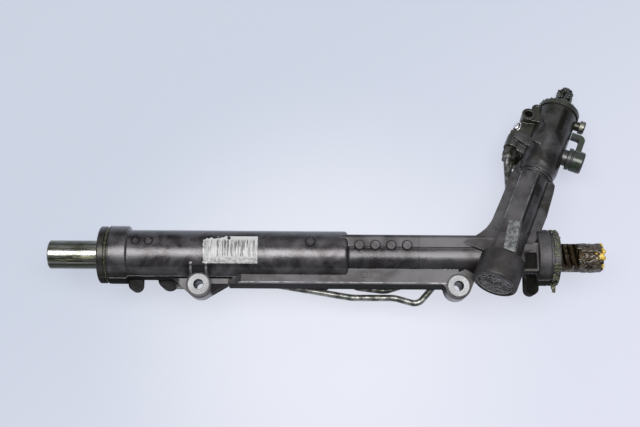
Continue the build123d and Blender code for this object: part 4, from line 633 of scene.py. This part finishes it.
def finishes(colours, stamp_r):
    """Material for each of the record's slots."""
    return {
        "cast_aluminium": casting_finish(colours, stamp_r),
        "bar_steel": bar_finish(colours),
        "piston_steel": steel_finish("piston_turned_steel", (0.5, 0.5, 0.5), 0.3),
        "bearing_steel": steel_finish("bearing_ground_steel", (0.66, 0.66, 0.66), 0.15, dirt_share=0.1),
        "valve_steel": steel_finish("valve_ground_steel", (0.52, 0.52, 0.5), 0.22, dirt_share=0.2),
        "shaft_steel": steel_finish("greasy_shaft_steel", (0.14, 0.14, 0.11), 0.35,
                                    (0.02, 0.03, 0.012), 0.9),
        "gland_aluminium": steel_finish("turned_aluminium", (0.5, 0.5, 0.5), 0.34, dirt_share=0.3),
        "seal_rubber": soft_finish("seal_rubber_black", (0.02, 0.02, 0.02)),
        "seal_ptfe": soft_finish("ring_brown_polymer", (0.12, 0.1, 0.07), 0.4),
        "bush_liner": soft_finish("liner_green_polymer", (0.1, 0.14, 0.12), 0.4),
        "spring_steel": steel_finish("spring_wire_steel", (0.3, 0.3, 0.3), 0.3),
        "cap_steel": steel_finish("blackened_cap_steel", (0.13, 0.13, 0.13), 0.38,
                                  (0.035, 0.03, 0.025), 0.8),
        "nut_steel": steel_finish("tarnished_nut_steel", (0.26, 0.25, 0.22), 0.36,
                                  (0.03, 0.035, 0.018), 0.7),
        "pipe_steel": pipe_finish(),
        "cap_rubber": soft_finish("dust_cap_rubber", (0.012, 0.012, 0.012), 0.6,
                                  (0.02, 0.024, 0.012), 0.8),
        "port_cap_plastic": soft_finish("port_cap_black_plastic", (0.02, 0.022, 0.021), 0.45,
                                        (0.018, 0.03, 0.014), 0.7),
        "plug_zinc": steel_finish("bright_plug_zinc", (0.75, 0.75, 0.75), 0.16, (0.2, 0.2, 0.18), 0.2),
    }


# ---- Modelling helpers ------------------------------------------------------------------------
def only(*pieces):
    """Select these pieces alone, the first of them active."""
    bpy.ops.object.select_all(action="DESELECT")
    for piece in pieces:
        piece.select_set(True)
    bpy.context.view_layer.objects.active = pieces[0]


def added(primitive, **settings):
    """Run one primitive's operator with nothing else selected, and give the new piece."""
    bpy.ops.object.select_all(action="DESELECT")
    primitive(**settings)
    return bpy.context.active_object


def scale_to(piece, *size):
    """Scale a new primitive to its size, in its mesh."""
    piece.scale = size
    only(piece)
    bpy.ops.object.transform_apply(location=False, rotation=False, scale=True)


def turn_to(normal, along):
    """Rotation that takes Z to the normal and X towards along."""
    z = Vector(normal).normalized()
    x = (Vector(along) - z * z.dot(Vector(along))).normalized()
    return Matrix((x, z.cross(x), z)).transposed().to_euler()


def settle(piece, name, material, body):
    """Put a finished piece's place into its mesh, dress it and hang it on its body."""
    only(piece)
    bpy.ops.object.transform_apply(location=True, rotation=True, scale=True)
    piece.name = piece.data.name = name
    piece.data.materials.clear()
    piece.data.materials.append(material)
    bpy.ops.object.shade_smooth_by_angle(angle=math.radians(40))
    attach(piece, body)
    return piece


def modify(piece, kind, **settings):
    """Add one modifier, set it and apply it."""
    only(piece)
    modifier = piece.modifiers.new(kind.lower(), kind)
    for name, value in settings.items():
        setattr(modifier, name, value)
    bpy.ops.object.modifier_apply(modifier=modifier.name)


def clouds(name, size):
    """Cloud texture for rough surfaces, made once."""
    made = bpy.data.textures.get(name) or bpy.data.textures.new(name, "CLOUDS")
    made.noise_scale = size
    made.noise_depth = 3
    return made


def between(rng, low, high):
    """Random length between two in millimetres, from a single draw."""
    return (low + (high - low) * rng.random()) * MM


def lumps(name, places, voxel, rough, material, body, soften=2):
    """One mass of grease from balls, each (centre, radius, stretch), run together and roughened."""
    ball = added(bpy.ops.mesh.primitive_ico_sphere_add, subdivisions=2, radius=1)
    copies = []
    for centre, radius, stretch in places:
        shape = ball.data.copy()
        shape.transform(Matrix.Translation(centre) @ Matrix.Diagonal((*(radius * Vector(stretch)), 1)))
        copies.append(bpy.data.objects.new(name, shape))
        bpy.context.scene.collection.objects.link(copies[-1])
    bpy.data.objects.remove(ball)
    only(*copies)
    bpy.ops.object.join()
    mass = bpy.context.active_object
    modify(mass, "REMESH", mode="VOXEL", voxel_size=voxel)
    modify(mass, "DISPLACE", texture=clouds("grease_clots", 2.2 * MM), texture_coords="GLOBAL",
           strength=rough, mid_level=0.5)
    modify(mass, "SMOOTH", factor=0.5, iterations=soften)
    return settle(mass, name, material, body)


class RackOperator:
    """What the rack's operators share."""
    bl_options = {"REGISTER", "UNDO"}


class RACK_OT_finish_nodes(RackOperator, bpy.types.Operator):
    """Give every piece of the frame its finish"""
    bl_idname = "rack.finish_nodes"
    bl_label = "Finish the frame's pieces"

    def execute(self, context):
        made = finishes(context.scene.rack_colours, context.scene.rack_sizes.stamp_r)
        for part in frame["record"]["subparts"]:
            node = frame["nodes"][part["node"]]
            node.data.materials.clear()
            node.data.materials.append(made[part["material_slot"]])
        return {"FINISHED"}


class RACK_OT_add_label(RackOperator, bpy.types.Operator):
    """Add the worn, bare label on the cylinder tube"""
    bl_idname = "rack.add_label"
    bl_label = "Add label"

    def execute(self, context):
        sizes = context.scene.rack_sizes
        left, right = sizes.label_left, sizes.label_right
        low, high = sizes.label_low_y, sizes.label_high_y
        label = added(bpy.ops.mesh.primitive_grid_add, x_subdivisions=96, y_subdivisions=56, size=1,
                      location=((left + right) / 2, (low + high) / 2, RACK_AXIS.z + TUBE_R + 5 * MM))
        label.scale = (right - left, high - low, 1)
        bpy.ops.object.transform_apply(location=True, rotation=True, scale=True)
        self.tear_edges(label, sizes)
        modify(label, "SHRINKWRAP", target=frame["nodes"]["housing"], wrap_method="PROJECT",
               use_project_z=True, use_negative_direction=True, use_positive_direction=False,
               offset=sizes.label_thickness)
        modify(label, "SOLIDIFY", thickness=sizes.label_thickness, offset=-1)
        paper = label_finish(context.scene.rack_colours)
        settle(label, "cylinder_label", paper, "housing_body")
        return {"FINISHED"}

    def tear_edges(self, label, sizes):
        """Delete the torn bits along the upper left edge and the left side."""
        rng = random.Random(11)
        tears = [(sizes.label_left + between(rng, 0, 27), sizes.label_high_y - between(rng, 0, 2.2),
                  between(rng, 0.7, 2.2)) for _ in range(26)]
        tears += [(sizes.label_left, sizes.label_low_y + between(rng, 0, 29), between(rng, 0.4, 1.1))
                  for _ in range(16)]
        only(label)
        bpy.ops.object.mode_set(mode="EDIT")
        bpy.ops.mesh.select_all(action="DESELECT")
        bpy.ops.object.mode_set(mode="OBJECT")
        for face in label.data.polygons:
            face.select = any(math.hypot(face.center.x - x, face.center.y - y) < radius
                              for x, y, radius in tears)
        bpy.ops.object.mode_set(mode="EDIT")
        bpy.ops.mesh.delete(type="FACE")
        bpy.ops.object.mode_set(mode="OBJECT")


class RACK_OT_add_plate(RackOperator, bpy.types.Operator):
    """Add the bare metal plate on the front of the tower"""
    bl_idname = "rack.add_plate"
    bl_label = "Add plate"

    def execute(self, context):
        sizes = context.scene.rack_sizes
        centre = tower_point(PLATE_S, PLATE_SIDE, SPINE_LIFT + sizes.plate_thickness / 2)
        along = TOWER_DIR * math.cos(PLATE_TURN) - SIDE_DIR * math.sin(PLATE_TURN)
        plate = added(bpy.ops.mesh.primitive_cube_add, size=1, location=centre,
                      rotation=turn_to(LIFT_DIR, along))
        scale_to(plate, sizes.plate_length, sizes.plate_width, sizes.plate_thickness)
        bpy.ops.object.mode_set(mode="EDIT")
        bpy.ops.mesh.select_all(action="SELECT")
        bpy.ops.mesh.subdivide(number_cuts=11)
        bpy.ops.object.mode_set(mode="OBJECT")
        modify(plate, "BEVEL", width=0.8 * MM, segments=3, limit_method="ANGLE")
        settle(plate, "tower_plate", plate_finish(), "housing_body")
        return {"FINISHED"}


class RACK_OT_add_stamps(RackOperator, bpy.types.Operator):
    """Add the round casting stamps on the cylinder tube"""
    bl_idname = "rack.add_stamps"
    bl_label = "Add casting stamps"

    def execute(self, context):
        sizes = context.scene.rack_sizes
        casting = frame["nodes"]["housing"].data.materials[0]
        angle = math.asin((STAMP_Y - RACK_AXIS.y) / TUBE_R)
        normal = Vector((0, math.sin(angle), math.cos(angle)))
        facing = turn_to(normal, (1, 0, 0))
        for name, x, scale in STAMPS:
            centre = round_rack(x, TUBE_R, angle)
            radius = sizes.stamp_r * scale
            rings = [added(bpy.ops.mesh.primitive_torus_add, location=centre, rotation=facing,
                           major_radius=radius * share, minor_radius=thickness,
                           major_segments=40, minor_segments=8)
                     for share, thickness in ((1, 0.42 * MM), (0.52, 0.3 * MM))]
            bar = added(bpy.ops.mesh.primitive_cube_add, size=1, location=centre, rotation=facing)
            scale_to(bar, radius * 0.9, 0.5 * MM, 0.7 * MM)
            modify(bar, "BEVEL", width=0.15 * MM, segments=2)
            only(*rings, bar)
            bpy.ops.object.join()
            stamp = context.active_object
            modify(stamp, "DISPLACE", texture=clouds("stamp_wear", 1.5 * MM), texture_coords="GLOBAL",
                   strength=0.25 * MM, mid_level=0.6)
            settle(stamp, name, casting, "housing_body")
        return {"FINISHED"}


class RACK_OT_add_bar_grease(RackOperator, bpy.types.Operator):
    """Add the old grease round the right end of the rack bar"""
    bl_idname = "rack.add_bar_grease"
    bl_label = "Add grease on the bar"

    def is_clear(self, centre):
        """True where the pinion, in front, and the yoke, behind, never reach the bar."""
        lift = (centre - RACK_AXIS).dot(LIFT_DIR)
        reach = PINION_REACH if lift > 0 else YOKE_REACH
        return centre.x > reach or abs(lift) < 3 * MM

    def execute(self, context):
        colours = context.scene.rack_colours
        rng = random.Random(3)
        places = []
        across = LIFT_DIR.cross(Vector((1, 0, 0)))
        for _ in range(260):
            along = Vector((HOUSING_END + between(rng, 1, 18), 0, 0))
            places.append((RACK_AXIS + along + LIFT_DIR * between(rng, 9.6, 11.2)
                           + across * between(rng, -11, 11), between(rng, 1.2, 2.1), (1.5, 1, 1)))
        for _ in range(520):
            x = HOUSING_END + 1 * MM + rng.random() * (BAR_RIGHT - HOUSING_END - 3 * MM)
            angle = rng.random() * 2 * math.pi
            size = between(rng, 0.9, 1.25)
            places.append((round_rack(x, BAR_R - 0.95 * MM, angle), size, (3, 1.5, 1.5)))
        # None where the pinion and the yoke pass over the bar at full travel
        places = [place for place in places if self.is_clear(place[0])]
        lumps("bar_grease_brown", places, 0.36 * MM, 0.2 * MM,
              grease_finish("old_brown_grease", colours.grease_brown, (0.2, 0.14, 0.03), 0.1),
              "rack", soften=14)
        tip = []
        for _ in range(15):
            angle = math.radians(-50 + 150 * rng.random())
            size = between(rng, 1.1, 2.4)
            x = BAR_RIGHT + between(rng, -1.0, 0.4)
            tip.append((round_rack(x, BAR_R - 0.6 * MM, angle), size, ROUND))
        for _ in range(12):
            x = BAR_RIGHT - between(rng, 0, 8)
            angle = math.radians(-14 + 24 * rng.random())
            tip.append((round_rack(x, BAR_R - 0.6 * MM, angle), between(rng, 1.1, 1.8), (1.4, 1, 1)))
        lumps("bar_grease_yellow", tip, 0.32 * MM, 0.4 * MM,
              grease_finish("fresh_yellow_grease", colours.grease_yellow, (0.6, 0.45, 0.08), 0.5),
              "rack")
        return {"FINISHED"}


class RACK_OT_add_collar_grease(RackOperator, bpy.types.Operator):
    """Add the green grease in the boot grooves and on the right collar's rim"""
    bl_idname = "rack.add_collar_grease"
    bl_label = "Add grease on the collars"

    def execute(self, context):
        colours = context.scene.rack_colours
        green = grease_finish("green_grease", colours.grease_green, (0.085, 0.09, 0.035), 0.25)
        rng = random.Random(5)
        ring = []
        for step in range(150):
            angle = 2 * math.pi * step / 150 + 0.03 * rng.random()
            size = between(rng, 0.4, 0.9)
            x = -GROOVE_X - between(rng, -1, 1)
            ring.append((round_rack(x, LEFT_LIP_R - GROOVE_DEPTH, angle), size, ROUND))
        lumps("left_groove_grease", ring, 0.35 * MM, 0.3 * MM, green, "housing_body")
        rim = []
        for _ in range(420):
            angle = 2 * math.pi * rng.random()
            size = between(rng, 0.4, 0.95)
            x = HOUSING_END - between(rng, 0.4, 7.4)
            rim.append((round_rack(x, RIGHT_LIP_R - 0.2 * MM, angle), size, (1.5, 1, 1)))
        for step in range(22):  # the drop that hangs from the rim
            share = step / 22
            x = HOUSING_END - between(rng, 2.5, 5)
            angle = math.radians(-92 + 5 * rng.random())
            size = (2.0 - 0.9 * share) * MM
            rim.append((round_rack(x, RIGHT_LIP_R + 7.5 * MM * share, angle), size, ROUND))
        lumps("right_rim_grease", rim, 0.36 * MM, 0.3 * MM, green, "housing_body", soften=4)
        return {"FINISHED"}


class RACK_OT_add_shaft_grease(RackOperator, bpy.types.Operator):
    """Add the dark grease on the input shaft and round the dust cap"""
    bl_idname = "rack.add_shaft_grease"
    bl_label = "Add grease on the shaft"

    def execute(self, context):
        dark = grease_finish("dark_shaft_grease", (0.007, 0.009, 0.006), (0.035, 0.045, 0.02), 0.1)
        rng = random.Random(9)
        cone = []
        for _ in range(260):
            share = rng.random()
            s = SHAFT_GREASE_S + share * (SHAFT_END_S + 3 * MM - SHAFT_GREASE_S)
            radius = min(SHAFT_R + (0.9 - 1.8 * share) * MM, SHAFT_R - (s - SHAFT_END_S) * 1.1)
            angle = rng.random() * 2 * math.pi
            cone.append((round_tower(s, radius, angle), between(rng, 0.9, 1.8), ROUND))
        lumps("shaft_grease", cone, 0.35 * MM, 0.3 * MM, dark, "input", soften=4)
        black = grease_finish("black_cap_dirt", (0.006, 0.006, 0.007), (0.03, 0.035, 0.02), 0.2)
        fringe = []
        for _ in range(240):
            angle = rng.random() * 2 * math.pi
            s = TOWER_TOP_S + between(rng, -3.2, 3.3)
            fringe.append((round_tower(s, BARREL_R + 1 * MM, angle), between(rng, 0.45, 0.95), ROUND))
        lumps("dust_cap_dirt", fringe, 0.35 * MM, 0.35 * MM, black, "housing_body")
        return {"FINISHED"}


class RACK_OT_add_recess_dirt(RackOperator, bpy.types.Operator):
    """Add the oily dirt that has gathered in the recess under the pinion"""
    bl_idname = "rack.add_recess_dirt"
    bl_label = "Add dirt under the pinion"

    def execute(self, context):
        rng = random.Random(13)
        dirt = []
        for _ in range(260):
            angle = rng.random() * 2 * math.pi
            radius = math.sqrt(rng.random()) * 17 * MM
            heap = (1.6 if math.cos(angle) < 0.2 else 0.7) * rng.random() * MM
            size = between(rng, 1.3, 2.8)
            dirt.append((round_tower(RECESS_FLOOR_S - heap, radius, angle), size, ROUND))
        for _ in range(120):
            angle = rng.random() * 2 * math.pi
            s = RECESS_RIM_S + between(rng, 0.5, -0.5)
            radius = between(rng, 18, 22.5)
            dirt.append((round_tower(s, radius, angle), between(rng, 0.25, 0.65), ROUND))
        lumps("pinion_recess_dirt", dirt, 0.35 * MM, 0.3 * MM,
              grease_finish("oily_dirt", (0.02, 0.017, 0.015), (0.12, 0.11, 0.1), 0.2),
              "housing_body")
        return {"FINISHED"}


class RACK_OT_set_stage(RackOperator, bpy.types.Operator):
    """Set the floor, the lights and the camera"""
    bl_idname = "rack.set_stage"
    bl_label = "Set stage"

    def execute(self, context):
        stage = context.scene.rack_stage
        self.add_floor(context, stage)
        self.add_lights(context, stage)
        self.add_world(context, stage)
        self.add_camera(context, stage)
        context.scene.view_settings.view_transform = "Standard"
        return {"FINISHED"}

    def add_floor(self, context, stage):
        """Pale floor under the rack's lowest point, lit a little by itself where the camera sees it."""
        floor = added(bpy.ops.mesh.primitive_plane_add, size=FLOOR_SIZE,
                      location=(0, 0, CAD_BOX[0].z - FLOOR_GAP))
        floor.name = "stage_floor"
        f = Finish("stage_floor_paint", Roughness=0.9)
        x, y = f.axis(0), f.axis(1)
        slope = f.math("ADD", f.math("MULTIPLY", x, 0.55), f.math("MULTIPLY", y, -0.8))
        tint = f.mix(f.step(slope, -0.3, 0.3), stage.floor_far, stage.floor_near)
        # Painted pool of light: the floor paler round the middle, under the rack
        middle = f.add("ShaderNodeVectorMath", {0: f.place, 1: (0, -0.03, 0)}, operation="DISTANCE")
        tint = f.mix(f.step(middle.outputs["Value"], 0.30, 0.05, 0, 0.55), tint, (0.86, 0.875, 0.935))
        f.set("Base Color", tint)
        path = f.add("ShaderNodeLightPath").outputs
        glow = f.add("ShaderNodeEmission", {"Color": tint}).outputs[0]
        share = f.math("MULTIPLY", path["Is Camera Ray"], stage.floor_glow)
        both = f.add("ShaderNodeMixShader", {0: share, 1: f.shader.outputs[0], 2: glow}).outputs[0]
        f.tree.links.new(both, f.tree.nodes["Material Output"].inputs["Surface"])
        floor.data.materials.append(f.material)

    def add_lights(self, context, stage):
        """Soft light overhead, and a wide one on the tower's side."""
        for name, place, size, power in (("key_light", KEY_PLACE, KEY_SIZE, stage.key_power),
                                         ("fill_light", FILL_PLACE, FILL_SIZE, stage.fill_power)):
            bpy.ops.object.light_add(type="AREA", location=place)
            light = context.active_object
            light.name = name
            light.data.energy = power
            light.data.shape = "RECTANGLE"
            light.data.size, light.data.size_y = size
            light.rotation_euler = (LIGHTS_AIM - Vector(place)).to_track_quat("-Z", "Y").to_euler()

    def add_world(self, context, stage):
        """Even, slightly blue light from all round."""
        world = bpy.data.worlds.new("room")
        world.use_nodes = True
        context.scene.world = world
        background = world.node_tree.nodes["Background"]
        background.inputs["Color"].default_value = (0.72, 0.76, 0.86, 1)
        background.inputs["Strength"].default_value = stage.world_strength

    def add_camera(self, context, stage):
        """Camera above the rack, leaning towards the bolt eyes."""
        lean = stage.camera_elevation
        back = Vector((0, -math.cos(lean), math.sin(lean)))
        data = bpy.data.cameras.new("camera")
        camera = bpy.data.objects.new("camera", data)
        context.scene.collection.objects.link(camera)
        camera.location = CAMERA_AIM + back * stage.camera_distance
        facing = (-back).to_track_quat("-Z", "Y").to_matrix()
        roll = Euler((0, 0, stage.camera_roll)).to_matrix()
        camera.rotation_euler = (facing @ roll).to_euler()
        data.lens = stage.camera_lens
        data.sensor_width = 36
        data.clip_start = 0.01
        context.scene.camera = camera


class RACK_PT_panel(bpy.types.Panel):
    """Steering rack's settings and steps"""
    bl_label = "Steering Rack"
    bl_idname = "RACK_PT_panel"
    bl_space_type = "VIEW_3D"
    bl_region_type = "UI"
    bl_category = "Steering Rack"

    def draw(self, context):
        for group in (context.scene.rack_colours, context.scene.rack_sizes, context.scene.rack_stage):
            box = self.layout.box()
            for name in group.bl_rna.properties.keys():
                if name not in ("rna_type", "name"):
                    box.prop(group, name)
        for step in STEPS:
            self.layout.operator(step.bl_idname)


STEPS = (RACK_OT_finish_nodes, RACK_OT_add_label, RACK_OT_add_plate, RACK_OT_add_stamps,
         RACK_OT_add_bar_grease, RACK_OT_add_collar_grease, RACK_OT_add_shaft_grease,
         RACK_OT_add_recess_dirt, RACK_OT_set_stage)
CLASSES = (RackColours, RackSizes, RackStage, *STEPS, RACK_PT_panel)


def register():
    for kind in CLASSES:
        bpy.utils.register_class(kind)
    bpy.types.Scene.rack_colours = bpy.props.PointerProperty(type=RackColours)
    bpy.types.Scene.rack_sizes = bpy.props.PointerProperty(type=RackSizes)
    bpy.types.Scene.rack_stage = bpy.props.PointerProperty(type=RackStage)


def unregister():
    del bpy.types.Scene.rack_colours
    del bpy.types.Scene.rack_sizes
    del bpy.types.Scene.rack_stage
    for kind in reversed(CLASSES):
        bpy.utils.unregister_class(kind)


def main():
    """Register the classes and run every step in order."""
    register()
    bpy.ops.rack.finish_nodes()
    bpy.ops.rack.add_label()
    bpy.ops.rack.add_plate()
    bpy.ops.rack.add_stamps()
    bpy.ops.rack.add_bar_grease()
    bpy.ops.rack.add_collar_grease()
    bpy.ops.rack.add_shaft_grease()
    bpy.ops.rack.add_recess_dirt()
    bpy.ops.rack.set_stage()


if __name__ == "__main__":
    main()
